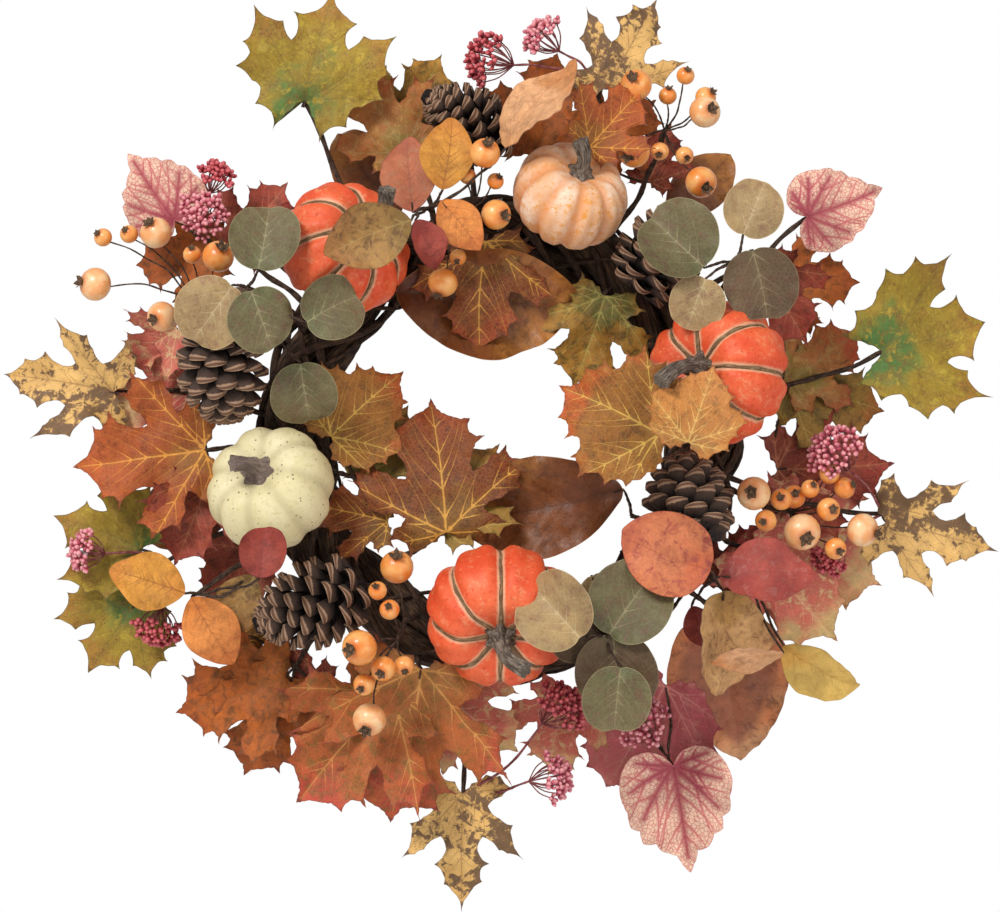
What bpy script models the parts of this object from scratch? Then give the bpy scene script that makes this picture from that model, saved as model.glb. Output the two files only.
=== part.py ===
"""Harvest door wreath: a twisted vine ring that carries pumpkins, pine cones and autumn picks.

Metres, +Z up, +X to the right and the front towards -Y. The origin is the point under the
top of the ring where a door hook carries it. Places round the ring are given by the clock
angle in degrees (0 at the top, 90 to the right, seen from the front), by the distance out
from the ring's centre line in mm, and by the lift in mm in front of the ring's front.
"""

import math
from typing import NamedTuple

import bmesh
import bpy
from mathutils import Matrix, Vector

MM = 0.001
GAP = 0.0004                # left between neighbours that touch
WELD = 0.00005
JOIN_WELD = 0.000001

RING_RADIUS = 0.123         # centre line of the vine bundle
VINE_COUNT = 3
VINE_RADIUS = 0.0097
VINE_TWISTS = 3             # turns of the bundle round its own centre line
VINE_POINTS = 42
VINE_SLOPE = 0.95           # cosine of the angle that the twist gives a vine

BAND_WIRE_RADIUS = 0.0009
BAND_POINTS = 16
EYE_RADIUS = 0.0034         # centre line of the eye's wire
EYE_WIRE_RADIUS = 0.0007
EYE_SINK = 0.0006           # of the eye's wire into the band's
EYE_POINTS = 10
LOOP_WIRE_RADIUS = 0.0010
LOOP_WIDTH = 0.034          # of the hanging loop, between the centres of its wire
LOOP_LENGTH = 0.046
LOOP_CORNER_POINTS = 4

ROOT_LEAD = 0.008           # straight start of a stem at the vine
STEM_RADIUS = 0.0011
BOUGH_RADIUS = 0.0018       # the stouter stem that carries several leaves
PEG_RADIUS = 0.003
LEAF_THICKNESS = 0.0008
STEM_OVERLAP = 0.009        # of a stem onto the leaf that it carries
KNOT_RADIUS = 0.0024        # where the stems of a pick meet
THIN = 0.002                # wires and stems under this radius are four-sided

PUMPKIN_HEIGHT = 0.76       # of the body, as a share of its width
PUMPKIN_DIMPLE = 0.70       # height of the dimple's floor, as a share of the half height
DIMPLE_PLAY = 0.0030        # round the stem where it stands in the dimple
PUMPKIN_RIBS = 8
PUMPKIN_RIB_DEPTH = 0.07
PUMPKIN_RINGS = 6
PUMPKIN_FIRST_RING = 0.9    # place of the first ring, in steps from the pole
PUMPKIN_STEPS = PUMPKIN_RINGS + 0.8     # from pole to pole
SEAT_GAP = 0.0010           # between a pumpkin and the round of the vine bundle
SEAT_STEPS = 8              # of nearing in on the place where a pumpkin rests
PUMPKIN_STEM_RADIUS = 0.0052
STEM_POINTS = 5
STEM_CURL = 0.35            # sideways bend of a pumpkin's stem, as a share of its length
STEM_TAPER = 0.45           # share of its radius that a pumpkin's stem loses

CONE_TIERS = 4
CONE_SIDES = 10
CONE_GROOVE = 0.74          # radius between two tiers of scales, as a share of theirs
CONE_TIER_TOP = 0.35        # where a tier is widest, as a share of its height from above
CONE_TIER_LOW = 0.95        # where the groove under it is
CONE_EGG = (0.85, 0.10)     # stretch and shift of the round that the tiers follow

# Roughness of the surfaces
BARK_ROUGH = 0.85
WOOD_ROUGH = 0.8
SKIN_ROUGH = 0.55
LEAF_ROUGH = 0.7
STEEL_ROUGH = 0.45
STEEL_METALLIC = 0.8

LEAF_LENGTHS = {            # from the petiole to the tip
    "maple": 0.078,
    "green": 0.064,
    "spotted": 0.062,
    "grape": 0.050,
    "round": 0.046,
    "ovate": 0.044,
    "magnolia": 0.095,
}

# Half outlines: along the midrib, and out from it, as shares of the length.
HALF_OUTLINES = {
    "maple": [(0.0, 0.0), (-0.14, 0.20), (0.0, 0.44), (0.16, 0.27), (0.44, 0.60),
              (0.52, 0.24), (1.0, 0.0)],
    "green": [(0.0, 0.0), (-0.16, 0.26), (0.06, 0.50), (0.16, 0.22), (0.56, 0.56),
              (0.48, 0.18), (1.0, 0.0)],
    "spotted": [(0.0, 0.0), (0.12, 0.24), (0.36, 0.36), (0.68, 0.26), (1.0, 0.0)],
    "grape": [(0.0, 0.0), (-0.08, 0.28), (0.24, 0.48), (0.62, 0.42), (1.0, 0.0)],
    "round": [(0.0, 0.0), (0.10, 0.30), (0.40, 0.47), (0.76, 0.38), (0.96, 0.16), (1.0, 0.0)],
    "ovate": [(0.0, 0.0), (0.14, 0.22), (0.42, 0.32), (0.74, 0.20), (1.0, 0.0)],
    "magnolia": [(0.0, 0.0), (0.14, 0.17), (0.46, 0.28), (0.80, 0.18), (1.0, 0.0)],
}


class Leaf(NamedTuple):
    kind: str
    clock: float
    out: float
    lift: float
    heading: float          # where the tip points, in degrees clockwise from up
    size: float = 1.0


class Ball(NamedTuple):
    clock: float
    out: float
    lift: float
    diameter: float


class Pick(NamedTuple):
    root: float             # clock angle where its stem meets the vine
    hub: tuple              # clock, out and lift of the point where its stems meet
    colour: tuple
    leaves: tuple = ()
    balls: tuple = ()


class Pumpkin(NamedTuple):
    clock: float
    out: float
    width: float
    lean: float             # heading of the stem, in degrees clockwise from up
    tilt: float             # of the stem towards the front, in degrees
    stem: float             # length of the stem
    colour: tuple


class Cone(NamedTuple):
    clock: float
    out: float
    lift: float
    length: float
    radius: float
    lean: float
    tilt: float


BARK = (0.045, 0.028, 0.019)
STEEL = (0.30, 0.28, 0.26)
CONE_BROWN = (0.035, 0.022, 0.016)
STEM_BROWN = (0.20, 0.16, 0.11)
RED = (0.78, 0.12, 0.05)
CREAM = (0.78, 0.70, 0.46)
PEACH = (0.80, 0.42, 0.15)
BERRY = (0.85, 0.33, 0.09)
EUCALYPTUS = (0.18, 0.17, 0.09)
MAGNOLIA = (0.36, 0.16, 0.05)
GREEN = (0.42, 0.38, 0.05)
YELLOW = (0.72, 0.50, 0.14)
PINK = (0.66, 0.24, 0.22)
RUST = (0.48, 0.10, 0.03)
AMBER = (0.70, 0.26, 0.04)
OLIVE = (0.26, 0.20, 0.06)

PUMPKINS = {
    "pumpkin_upper_left": Pumpkin(321, 23, 0.082, 60, 50, 0.038, RED),
    "pumpkin_top": Pumpkin(16, 28, 0.072, 25, 40, 0.020, PEACH),
    "pumpkin_right": Pumpkin(73, 12, 0.088, 282, 55, 0.036, RED),
    "pumpkin_left": Pumpkin(258, 16, 0.080, 325, 55, 0.020, CREAM),
    "pumpkin_bottom": Pumpkin(180, -19, 0.090, 178, 60, 0.036, RED),
}

CONES = {
    "pine_cone_top": Cone(354, 70, 4, 0.066, 0.022, 300, 15),
    "pine_cone_upper_right": Cone(41, 28, 20, 0.066, 0.026, 40, 10),
    "pine_cone_left": Cone(283, 46, 26, 0.066, 0.027, 300, 40),
    "pine_cone_lower_left": Cone(229, 28, 27, 0.074, 0.027, 250, 8),
    "pine_cone_lower_right": Cone(108, -6, 32, 0.066, 0.027, 120, 50),
}

PICKS = {
    # Long stems that reach past the rest.
    "green_maple_leaf_top": Pick(321, (330, 112, 0), GREEN, (
        Leaf("green", 330, 112, 0, 14, 1.0),)),
    "green_maple_leaf_right": Pick(79, (77, 112, 2), GREEN, (
        Leaf("green", 77, 112, 2, 74, 1.05),)),
    "green_maple_leaves_lower_left": Pick(250, (250, 92, -22), GREEN, (
        Leaf("green", 253, 104, -22, 292, 0.84),
        Leaf("green", 246, 118, -26, 215, 0.8)), (
        Ball(255, 136, -6, 22),
        Ball(241, 112, -8, 28))),
    "spotted_leaf_top": Pick(13, (16, 99, -14), YELLOW, (
        Leaf("spotted", 17, 99, -14, 29, 1.0),), (
        Ball(5, 120, -4, 24),
        Ball(359, 108, 4, 26))),
    "spotted_leaf_left": Pick(276, (277, 112, -14), YELLOW, (
        Leaf("spotted", 277, 112, -14, 280, 1.05),)),
    "spotted_leaf_bottom": Pick(184, (186, 91, -8), YELLOW, (
        Leaf("spotted", 186, 91, -8, 181, 1.1),), (
        Ball(167, 40, 26, 34),
        Ball(171, 82, 4, 34))),
    "spotted_leaf_right": Pick(99, (101, 112, -10), YELLOW, (
        Leaf("spotted", 102, 115, -10, 105, 1.05),), (
        Ball(92, 76, 22, 36),
        Ball(110, 86, 8, 26))),
    "grape_leaf_upper_left": Pick(304, (304, 100, -14), PINK, (
        Leaf("grape", 304, 114, -14, 326, 0.95),), (
        Ball(313, 110, -4, 26),
        Ball(307, 100, 6, 28))),
    "grape_leaf_upper_right": Pick(52, (54, 104, -10), PINK, (
        Leaf("grape", 54, 106, -10, 70, 0.95),)),
    "grape_leaf_lower_right": Pick(152, (152, 92, -6), PINK, (
        Leaf("grape", 152, 99, -6, 171, 1.2),
        Leaf("maple", 147, 60, -12, 216, 0.95),
        Leaf("maple", 165, 34, -22, 194, 0.7)), (
        Ball(153, 68, 14, 34),)),
    # Eucalyptus sprigs.
    "eucalyptus_upper_right": Pick(57, (53, 50, 60), EUCALYPTUS, (
        Leaf("round", 50, 33, 66, 315, 0.95),
        Leaf("round", 50, 63, 58, 22, 0.75),
        Leaf("round", 53, 62, 60, 167, 0.9),
        Leaf("round", 52, 30, 64, 200, 0.7))),
    "eucalyptus_left": Pick(299, (301, 50, 62), EUCALYPTUS, (
        Leaf("round", 305, 49, 72, 9, 0.85),
        Leaf("round", 300, 58, 60, 218, 0.9),
        Leaf("round", 301, 46, 76, 160, 0.8))),
    "eucalyptus_bottom": Pick(150, (152, 8, 64), EUCALYPTUS, (
        Leaf("round", 158, 2, 80, 316, 0.95),
        Leaf("round", 151, 8, 66, 34, 1.0),
        Leaf("round", 154, 22, 62, 173, 0.85))),
    # Smooth magnolia leaves.
    "magnolia_leaves_top_left": Pick(336, (336, 26, -38), MAGNOLIA, (
        Leaf("magnolia", 336, 27, -38, 323, 0.7),)),
    "magnolia_leaf_inner_top": Pick(327, (325, -14, 6), MAGNOLIA, (
        Leaf("magnolia", 325, -14, 6, 97, 1.1),)),
    "magnolia_leaf_top_right": Pick(37, (37, 47, -40), MAGNOLIA, (
        Leaf("magnolia", 37, 47, -40, 46, 0.6),)),
    "magnolia_leaf_inner_bottom": Pick(120, (120, -32, 4), MAGNOLIA, (
        Leaf("magnolia", 112, -43, 5, 259, 1.05),)),
    "magnolia_leaf_lower_right": Pick(128, (128, 43, -30), MAGNOLIA, (
        Leaf("magnolia", 128, 43, -30, 169, 0.9),)),
    "magnolia_leaf_left": Pick(259, (259, 38, -38), MAGNOLIA, (
        Leaf("magnolia", 259, 38, -38, 248, 0.8),)),
    # Ovate leaves.
    "ovate_leaves_top": Pick(342, (343, 20, 40), YELLOW, (
        Leaf("ovate", 347, 28, 44, 7, 1.0),
        Leaf("ovate", 339, 21, 38, 353, 1.05),
        Leaf("ovate", 346, 22, 48, 140, 0.85))),
    "ovate_leaves_lower_left": Pick(243, (243, 80, 14), AMBER, (
        Leaf("ovate", 244, 86, 16, 288, 1.1),
        Leaf("ovate", 243, 84, 12, 149, 1.1))),
    "ovate_leaves_lower_right": Pick(122, (123, 28, 56), PINK, (
        Leaf("ovate", 123, 24, 60, 280, 1.2),
        Leaf("ovate", 122, 29, 54, 87, 1.1),
        Leaf("ovate", 125, 40, 50, 168, 1.25))),
    # Berry sprays.
    "berry_spray_upper_left": Pick(295, (294, 76, 22), BERRY, (), (
        Ball(301, 116, 22, 19), Ball(299, 130, 16, 11), Ball(297, 143, 14, 11),
        Ball(291, 135, 22, 20), Ball(301, 90, 30, 11), Ball(303, 76, 34, 19),
        Ball(290, 90, 34, 18))),
    "berry_spray_top": Pick(352, (352, 14, 32), BERRY, (), (
        Ball(357, 46, 46, 18), Ball(353, 34, 36, 10), Ball(359, 30, 34, 10),
        Ball(359, 10, 38, 18), Ball(340, -24, 30, 18), Ball(347, -12, 30, 10))),
    "berry_spray_upper_right": Pick(28, (28, 88, -2), BERRY, (), (
        Ball(21, 104, 12, 19), Ball(27, 122, 4, 11), Ball(26, 107, -2, 11),
        Ball(31, 116, 8, 13), Ball(32, 108, 12, 19), Ball(25, 66, 20, 19),
        Ball(29, 74, 12, 11), Ball(33, 80, 6, 11), Ball(38, 72, 14, 19))),
    "berry_spray_right": Pick(101, (104, 56, 18), BERRY, (), (
        Ball(102, 30, 44, 20), Ball(102, 47, 38, 13), Ball(107, 41, 42, 13),
        Ball(99, 63, 34, 11), Ball(102, 76, 32, 14), Ball(107, 64, 36, 22),
        Ball(104, 99, 26, 20), Ball(108, 86, 33, 13))),
    "berry_spray_lower_left": Pick(205, (207, 10, 44), BERRY, (), (
        Ball(219, -26, 36, 20), Ball(219, -9, 58, 11), Ball(213, -4, 56, 12),
        Ball(214, 24, 62, 21), Ball(207, 28, 54, 15), Ball(209, 42, 48, 13),
        Ball(203, 22, 44, 12), Ball(205, 60, 34, 20))),
    # Maple sprays.
    "maple_leaves_left": Pick(267, (268, 54, 2), RUST, (
        Leaf("maple", 268, 54, 2, 263, 1.0),
        Leaf("maple", 279, 64, -10, 258, 0.65),
        Leaf("maple", 262, 54, -6, 201, 0.7))),
    "maple_leaves_inner_left": Pick(262, (256, -32, 4), AMBER, (
        Leaf("maple", 271, -22, 10, 48, 0.75),
        Leaf("maple", 253, -42, 4, 25, 0.65),
        Leaf("maple", 234, -40, 5, 283, 0.6))),
    "maple_leaves_inner_front": Pick(225, (214, -54, 16), RUST, (
        Leaf("maple", 210, -59, 20, 352, 1.05),
        Leaf("maple", 216, -60, 14, 35, 0.8))),
    "maple_leaves_inner_right": Pick(90, (90, -34, 60), AMBER, (
        Leaf("maple", 88, -30, 69, 301, 0.9),
        Leaf("maple", 87, -24, 86, 24, 0.5))),
    "maple_leaf_inner_top": Pick(356, (356, -4, 14), RUST, (
        Leaf("maple", 356, -4, 14, 184, 0.85),)),
    "maple_leaf_inner_upper_right": Pick(36, (36, -16, 3), GREEN, (
        Leaf("maple", 36, -16, 3, 198, 0.75),)),
    "maple_leaves_right": Pick(82, (82, 50, -18), OLIVE, (
        Leaf("maple", 79, 54, -16, 53, 0.7),
        Leaf("maple", 79, 54, -20, 105, 0.8),
        Leaf("maple", 60, 70, -26, 90, 0.65),
        Leaf("maple", 96, 46, -24, 86, 0.8))),
    "maple_leaves_lower_right": Pick(113, (114, 40, -20), PINK, (
        Leaf("maple", 113, 42, -18, 137, 1.0),
        Leaf("maple", 107, 44, -26, 119, 1.1),
        Leaf("ovate", 126, 88, -8, 128, 1.0))),
    "maple_leaves_lower_left": Pick(222, (222, 62, -18), AMBER, (
        Leaf("maple", 222, 70, -16, 253, 0.9),
        Leaf("maple", 221, 68, -20, 206, 0.9),
        Leaf("maple", 214, 60, -24, 263, 0.65))),
    "maple_leaves_bottom_left": Pick(200, (200, 20, 6), RUST, (
        Leaf("maple", 199, 22, 10, 192, 1.25),
        Leaf("maple", 203, 42, 2, 221, 1.1),
        Leaf("maple", 193, 34, -4, 128, 0.75))),
    "maple_leaves_top_right": Pick(15, (15, 58, -30), AMBER, (
        Leaf("maple", 18, 62, -28, 49, 0.7),
        Leaf("maple", 8, 54, -24, 10, 0.8),
        Leaf("maple", 30, 58, -32, 20, 0.5))),
    "maple_leaves_top_left": Pick(307, (308, 66, -30), AMBER, (
        Leaf("maple", 304, 84, -30, 262, 0.7),
        Leaf("maple", 306, 72, -26, 34, 0.65))),
    "maple_leaf_top": Pick(343, (342, 70, -24), GREEN, (
        Leaf("maple", 342, 72, -24, 28, 0.7),)),
}

VINE_OFFSET = (2 * VINE_RADIUS + GAP) / (2 * math.sin(math.pi / VINE_COUNT) * VINE_SLOPE)
BUNDLE_RADIUS = VINE_OFFSET + VINE_RADIUS
CENTRE_Z = BUNDLE_RADIUS - RING_RADIUS
BAND_RADIUS = BUNDLE_RADIUS + GAP + BAND_WIRE_RADIUS
FRONT = Vector((0, -1, 0))


def across(angle, out, forward):
    """The point at a clock angle in radians, out from the centre line and forward of it."""
    radius = RING_RADIUS + out
    return Vector((radius * math.sin(angle), -forward, CENTRE_Z + radius * math.cos(angle)))


def place(clock, out, lift):
    """The point at a clock angle in degrees, out and lift in mm."""
    return across(math.radians(clock), out * MM, BUNDLE_RADIUS + lift * MM)


def heading_vector(degrees, tilt=0.0):
    """A direction clockwise from up, seen from the front, tilted towards the front."""
    turn = math.radians(degrees)
    rise = math.radians(tilt)
    flat = Vector((math.sin(turn), 0, math.cos(turn)))
    return flat * math.cos(rise) + FRONT * math.sin(rise)


def vine_section(index, angle):
    """Where a vine crosses the bundle's section at a clock angle: out and forward."""
    turn = VINE_TWISTS * angle + 2 * math.pi * index / VINE_COUNT
    return Vector((VINE_OFFSET * math.cos(turn), VINE_OFFSET * math.sin(turn)))


def root_points(clock, target):
    """The start of a stem towards target: next to the nearest vine, and straight off it."""
    angle = math.radians(clock)
    flat = math.hypot(target.x, target.z - CENTRE_Z)
    aim = Vector((flat - RING_RADIUS, -target.y))
    centres = [vine_section(index, angle) for index in range(VINE_COUNT)]
    centre = min(centres, key=lambda each: (aim - each).length)
    away = (aim - centre).normalized()
    seat = centre + away * (VINE_RADIUS + GAP)
    lead = seat + away * min(ROOT_LEAD, (aim - seat).length / 2)
    return [across(angle, *seat), across(angle, *lead)]


def resting_forward(out, axis, clock, half_width, half_height):
    """How far forward of the centre line a rounded body lies that rests on the bundle."""
    outward = heading_vector(clock)
    forward = BUNDLE_RADIUS + half_width
    for _ in range(SEAT_STEPS):
        towards = -(outward * out + FRONT * forward).normalized()
        lean = axis.dot(towards)
        reach = math.sqrt(half_width ** 2 * (1 - lean ** 2) + (half_height * lean) ** 2)
        forward = math.sqrt((BUNDLE_RADIUS + reach + SEAT_GAP) ** 2 - out ** 2)
    return forward


def material(name, colour, roughness, metallic):
    made = bpy.data.materials.new(name)
    made.use_nodes = True
    shader = made.node_tree.nodes["Principled BSDF"]
    shader.inputs["Base Color"].default_value = (*colour, 1)
    shader.inputs["Roughness"].default_value = roughness
    shader.inputs["Metallic"].default_value = metallic
    return made


def new_collection(name):
    made = bpy.data.collections.new(name)
    bpy.context.scene.collection.children.link(made)
    return made


def new_object(data):
    made = bpy.data.objects.new(data.name, data)
    bpy.context.scene.collection.objects.link(made)
    return made


def finish(obj, name, colour, roughness=LEAF_ROUGH, metallic=0.0):
    """Names a sub-part, gives it its own material and puts it in the wreath's collection."""
    obj.name = name
    obj.data.materials.clear()
    obj.data.materials.append(material(name, colour, roughness, metallic))
    bpy.context.scene.collection.objects.unlink(obj)
    wreath.objects.link(obj)
    obj.data.shade_smooth()
    obj.data.set_sharp_from_angle(angle=math.radians(35))
    return obj


def to_mesh(obj, weld=WELD):
    """Replaces obj by a mesh in world space of what it evaluates to, with its seams welded."""
    bpy.context.view_layer.update()
    graph = bpy.context.evaluated_depsgraph_get()
    mesh = bpy.data.meshes.new_from_object(obj.evaluated_get(graph))
    mesh.transform(obj.matrix_world)
    work = bmesh.new()
    work.from_mesh(mesh)
    bmesh.ops.remove_doubles(work, verts=work.verts, dist=weld)
    work.to_mesh(mesh)
    work.free()
    bpy.data.objects.remove(obj)
    return new_object(mesh)


def tube(points, radius, cyclic=False, taper=None):
    """A round bar through points; taper gives the share of the radius at each point."""
    curve = bpy.data.curves.new("tube", "CURVE")
    curve.dimensions = "3D"
    curve.bevel_depth = radius
    curve.bevel_resolution = 0 if radius < THIN else 1
    curve.use_fill_caps = not cyclic
    spline = curve.splines.new("POLY")
    spline.points.add(len(points) - 1)
    for index, at in enumerate(points):
        spline.points[index].co = (*at, 1)
        spline.points[index].radius = taper[index] if taper else 1
    spline.use_cyclic_u = cyclic
    return to_mesh(new_object(curve))


def ball(centre, diameter, segments=7, rings=4):
    mesh = bpy.data.meshes.new("ball")
    work = bmesh.new()
    at = Matrix.Translation(centre)
    bmesh.ops.create_uvsphere(
        work, u_segments=segments, v_segments=rings, radius=diameter / 2, matrix=at
    )
    work.to_mesh(mesh)
    work.free()
    return new_object(mesh)


def turned(profile, sides, axis, centre):
    """A solid turned from a profile of radius and height, with its own Z along axis."""
    mesh = bpy.data.meshes.new("turned")
    points = [(radius, 0, height) for radius, height in profile]
    mesh.from_pydata(points, [(i, i + 1) for i in range(len(points) - 1)], [])
    obj = new_object(mesh)
    screw = obj.modifiers.new("turn", "SCREW")
    screw.steps = sides
    screw.render_steps = sides
    screw.use_merge_vertices = True
    screw.merge_threshold = WELD
    turn = axis.to_track_quat("Z", "Y")
    obj.matrix_world = Matrix.LocRotScale(centre, turn, None)
    return to_mesh(obj)


def leaf_plate(leaf):
    """A thin flat leaf: its base at its place and its tip towards its heading."""
    half = HALF_OUTLINES[leaf.kind]
    length = LEAF_LENGTHS[leaf.kind] * leaf.size
    outline = [(side, along) for along, side in half]
    outline += [(-side, along) for along, side in reversed(half[1:-1])]
    curve = bpy.data.curves.new("leaf", "CURVE")
    curve.dimensions = "2D"
    curve.fill_mode = "BOTH"
    curve.extrude = LEAF_THICKNESS / 2
    spline = curve.splines.new("POLY")
    spline.points.add(len(outline) - 1)
    for point, (side, along) in zip(spline.points, outline):
        point.co = (side * length, along * length, 0, 1)
    spline.use_cyclic_u = True
    obj = new_object(curve)
    midrib = heading_vector(leaf.heading)
    side = heading_vector(leaf.heading + 90)
    frame = Matrix((side, midrib, FRONT)).transposed()
    obj.matrix_world = Matrix.LocRotScale(place(*leaf[1:4]), frame.to_quaternion(), None)
    return to_mesh(obj)


def fuse(pieces):
    """One closed solid of pieces that run into each other."""
    base, *others = pieces
    joined = new_collection("joined")
    for other in others:
        bpy.context.scene.collection.objects.unlink(other)
        joined.objects.link(other)
    union = base.modifiers.new("join", "BOOLEAN")
    union.operation = "UNION"
    union.operand_type = "COLLECTION"
    union.collection = joined
    union.solver = "EXACT"
    made = to_mesh(base, JOIN_WELD)
    for other in others:
        bpy.data.objects.remove(other)
    bpy.data.collections.remove(joined)
    return made


def build_vines():
    for index in range(VINE_COUNT):
        angles = [2 * math.pi * step / VINE_POINTS for step in range(VINE_POINTS)]
        points = [across(angle, *vine_section(index, angle)) for angle in angles]
        finish(tube(points, VINE_RADIUS, cyclic=True), f"vine_{index + 1}", BARK, BARK_ROUGH)


def section_ring(forward, radius, points):
    """The points of a ring in the bundle's section at the top, whose flats lie on radius."""
    turns = [2 * math.pi * (step + 0.5) / points for step in range(points)]
    reach = radius / math.cos(math.pi / points)
    return [
        across(0, reach * math.cos(turn), forward + reach * math.sin(turn)) for turn in turns
    ]


def build_hanger():
    """A wire band at the top with an eye at its back, and the loop that turns in the eye."""
    eye_forward = -(BAND_RADIUS + EYE_RADIUS - EYE_SINK)
    band = tube(section_ring(0, BAND_RADIUS, BAND_POINTS), BAND_WIRE_RADIUS, cyclic=True)
    eye_points = section_ring(eye_forward, EYE_RADIUS, EYE_POINTS)
    eye = tube(eye_points, EYE_WIRE_RADIUS, cyclic=True)
    finish(fuse([band, eye]), "hanger_band", STEEL, STEEL_ROUGH, STEEL_METALLIC)

    hinge = across(0, 0, eye_forward)
    corner = LOOP_WIDTH / 2
    points = [Vector((-corner, 0, 0)), Vector((0, 0, 0)), Vector((corner, 0, 0))]
    low = corner - LOOP_LENGTH
    for step in range(LOOP_CORNER_POINTS * 2 + 1):
        turn = math.pi * step / (LOOP_CORNER_POINTS * 2)
        points.append(Vector((corner * math.cos(turn), 0, low - corner * math.sin(turn))))
    loop = tube([hinge + point for point in points], LOOP_WIRE_RADIUS, cyclic=True)
    loop.data.transform(Matrix.Translation(-hinge))
    loop.location = hinge
    finish(loop, "hanging_loop", STEEL, STEEL_ROUGH, STEEL_METALLIC)


def build_pumpkin(name, pumpkin):
    half_width = pumpkin.width / 2
    half_height = half_width * PUMPKIN_HEIGHT
    axis = heading_vector(pumpkin.lean, pumpkin.tilt)
    out = pumpkin.out * MM
    forward = resting_forward(out, axis, pumpkin.clock, half_width, half_height)
    centre = across(math.radians(pumpkin.clock), out, forward)

    floor = PUMPKIN_DIMPLE * half_height
    profile = [(0.0, floor), (PUMPKIN_STEM_RADIUS + DIMPLE_PLAY, floor)]
    for ring in range(PUMPKIN_RINGS):
        turn = math.pi * (ring + PUMPKIN_FIRST_RING) / PUMPKIN_STEPS
        profile.append((half_width * math.sin(turn), half_height * math.cos(turn)))
    profile.append((0.0, -half_height))
    body = turned(profile, PUMPKIN_RIBS * 2, axis, centre)
    for vertex in body.data.vertices:
        arm = vertex.co - centre
        side = arm - axis * arm.dot(axis)
        groove = vertex.index // len(profile) % 2
        vertex.co -= side * PUMPKIN_RIB_DEPTH * groove
    peg = tube([*root_points(pumpkin.clock, centre), centre], PEG_RADIUS)
    finish(fuse([body, peg]), name, pumpkin.colour, SKIN_ROUGH)

    foot = centre + axis * (floor + GAP)
    bend = FRONT.cross(axis).normalized() * STEM_CURL
    points = []
    for step in range(STEM_POINTS):
        along = step / (STEM_POINTS - 1)
        points.append(foot + (axis * along + bend * along ** 3) * pumpkin.stem)
    taper = [1.0 - STEM_TAPER * math.sin(math.pi / 2 * step / (STEM_POINTS - 1))
             for step in range(STEM_POINTS)]
    stem = tube(points, PUMPKIN_STEM_RADIUS, taper=taper)
    finish(stem, name + "_stem", STEM_BROWN, WOOD_ROUGH)


def build_cone(name, cone):
    """A pine cone of stepped tiers, its tip towards its heading, on a stem to the vine."""
    axis = heading_vector(cone.lean, cone.tilt)
    centre = place(cone.clock, cone.out, cone.lift)
    stretch, shift = CONE_EGG
    profile = [(0.0, cone.length / 2)]
    for tier in range(CONE_TIERS):
        top = 1 - 2 * (tier + CONE_TIER_TOP) / CONE_TIERS
        low = 1 - 2 * (tier + CONE_TIER_LOW) / CONE_TIERS
        wide = cone.radius * math.sqrt(1 - (top * stretch + shift) ** 2)
        profile.append((wide, top * cone.length / 2))
        profile.append((wide * CONE_GROOVE, low * cone.length / 2))
    profile.append((0.0, -cone.length / 2))
    body = turned(profile, CONE_SIDES, axis, centre)
    stem = tube([*root_points(cone.clock, centre), centre], BOUGH_RADIUS)
    finish(fuse([body, stem]), name, CONE_BROWN, WOOD_ROUGH)


def build_pick(name, pick):
    """Leaves and balls on stems that meet in a knot, on one bough from the vine."""
    hub = place(*pick.hub)
    pieces = [tube([*root_points(pick.root, hub), hub], BOUGH_RADIUS)]
    if len(pick.leaves) + len(pick.balls) > 1:
        pieces.append(ball(hub, 2 * KNOT_RADIUS, segments=6, rings=4))
    for leaf in pick.leaves:
        base = place(leaf.clock, leaf.out, leaf.lift)
        onto = base + heading_vector(leaf.heading) * STEM_OVERLAP
        pieces.append(leaf_plate(leaf))
        route = [hub, base, onto] if (base - hub).length > KNOT_RADIUS else [hub, onto]
        pieces.append(tube(route, STEM_RADIUS))
    for each in pick.balls:
        centre = place(each.clock, each.out, each.lift)
        pieces.append(ball(centre, each.diameter * MM))
        pieces.append(tube([hub, centre], STEM_RADIUS))
    finish(fuse(pieces), name, pick.colour)


for old in list(bpy.data.objects):
    bpy.data.objects.remove(old)
wreath = new_collection("harvest_wreath")

build_vines()
build_hanger()
for pumpkin_name, pumpkin_sizes in PUMPKINS.items():
    build_pumpkin(pumpkin_name, pumpkin_sizes)
for cone_name, cone_sizes in CONES.items():
    build_cone(cone_name, cone_sizes)
for pick_name, pick_sizes in PICKS.items():
    build_pick(pick_name, pick_sizes)
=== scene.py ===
"""Harvest door wreath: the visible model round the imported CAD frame.

Metres, +Z up, the front towards -Y. Places round the ring are given, as in the CAD, by the
clock angle in degrees, by the distance out from the ring's centre line in mm, and by the lift
in mm in front of the ring's front. Leaves are made flat in mm and then bent and placed.
"""

import math
import random
from typing import NamedTuple

import bpy
import numpy as np
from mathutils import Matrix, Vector, noise
from mathutils.geometry import delaunay_2d_cdt


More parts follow.
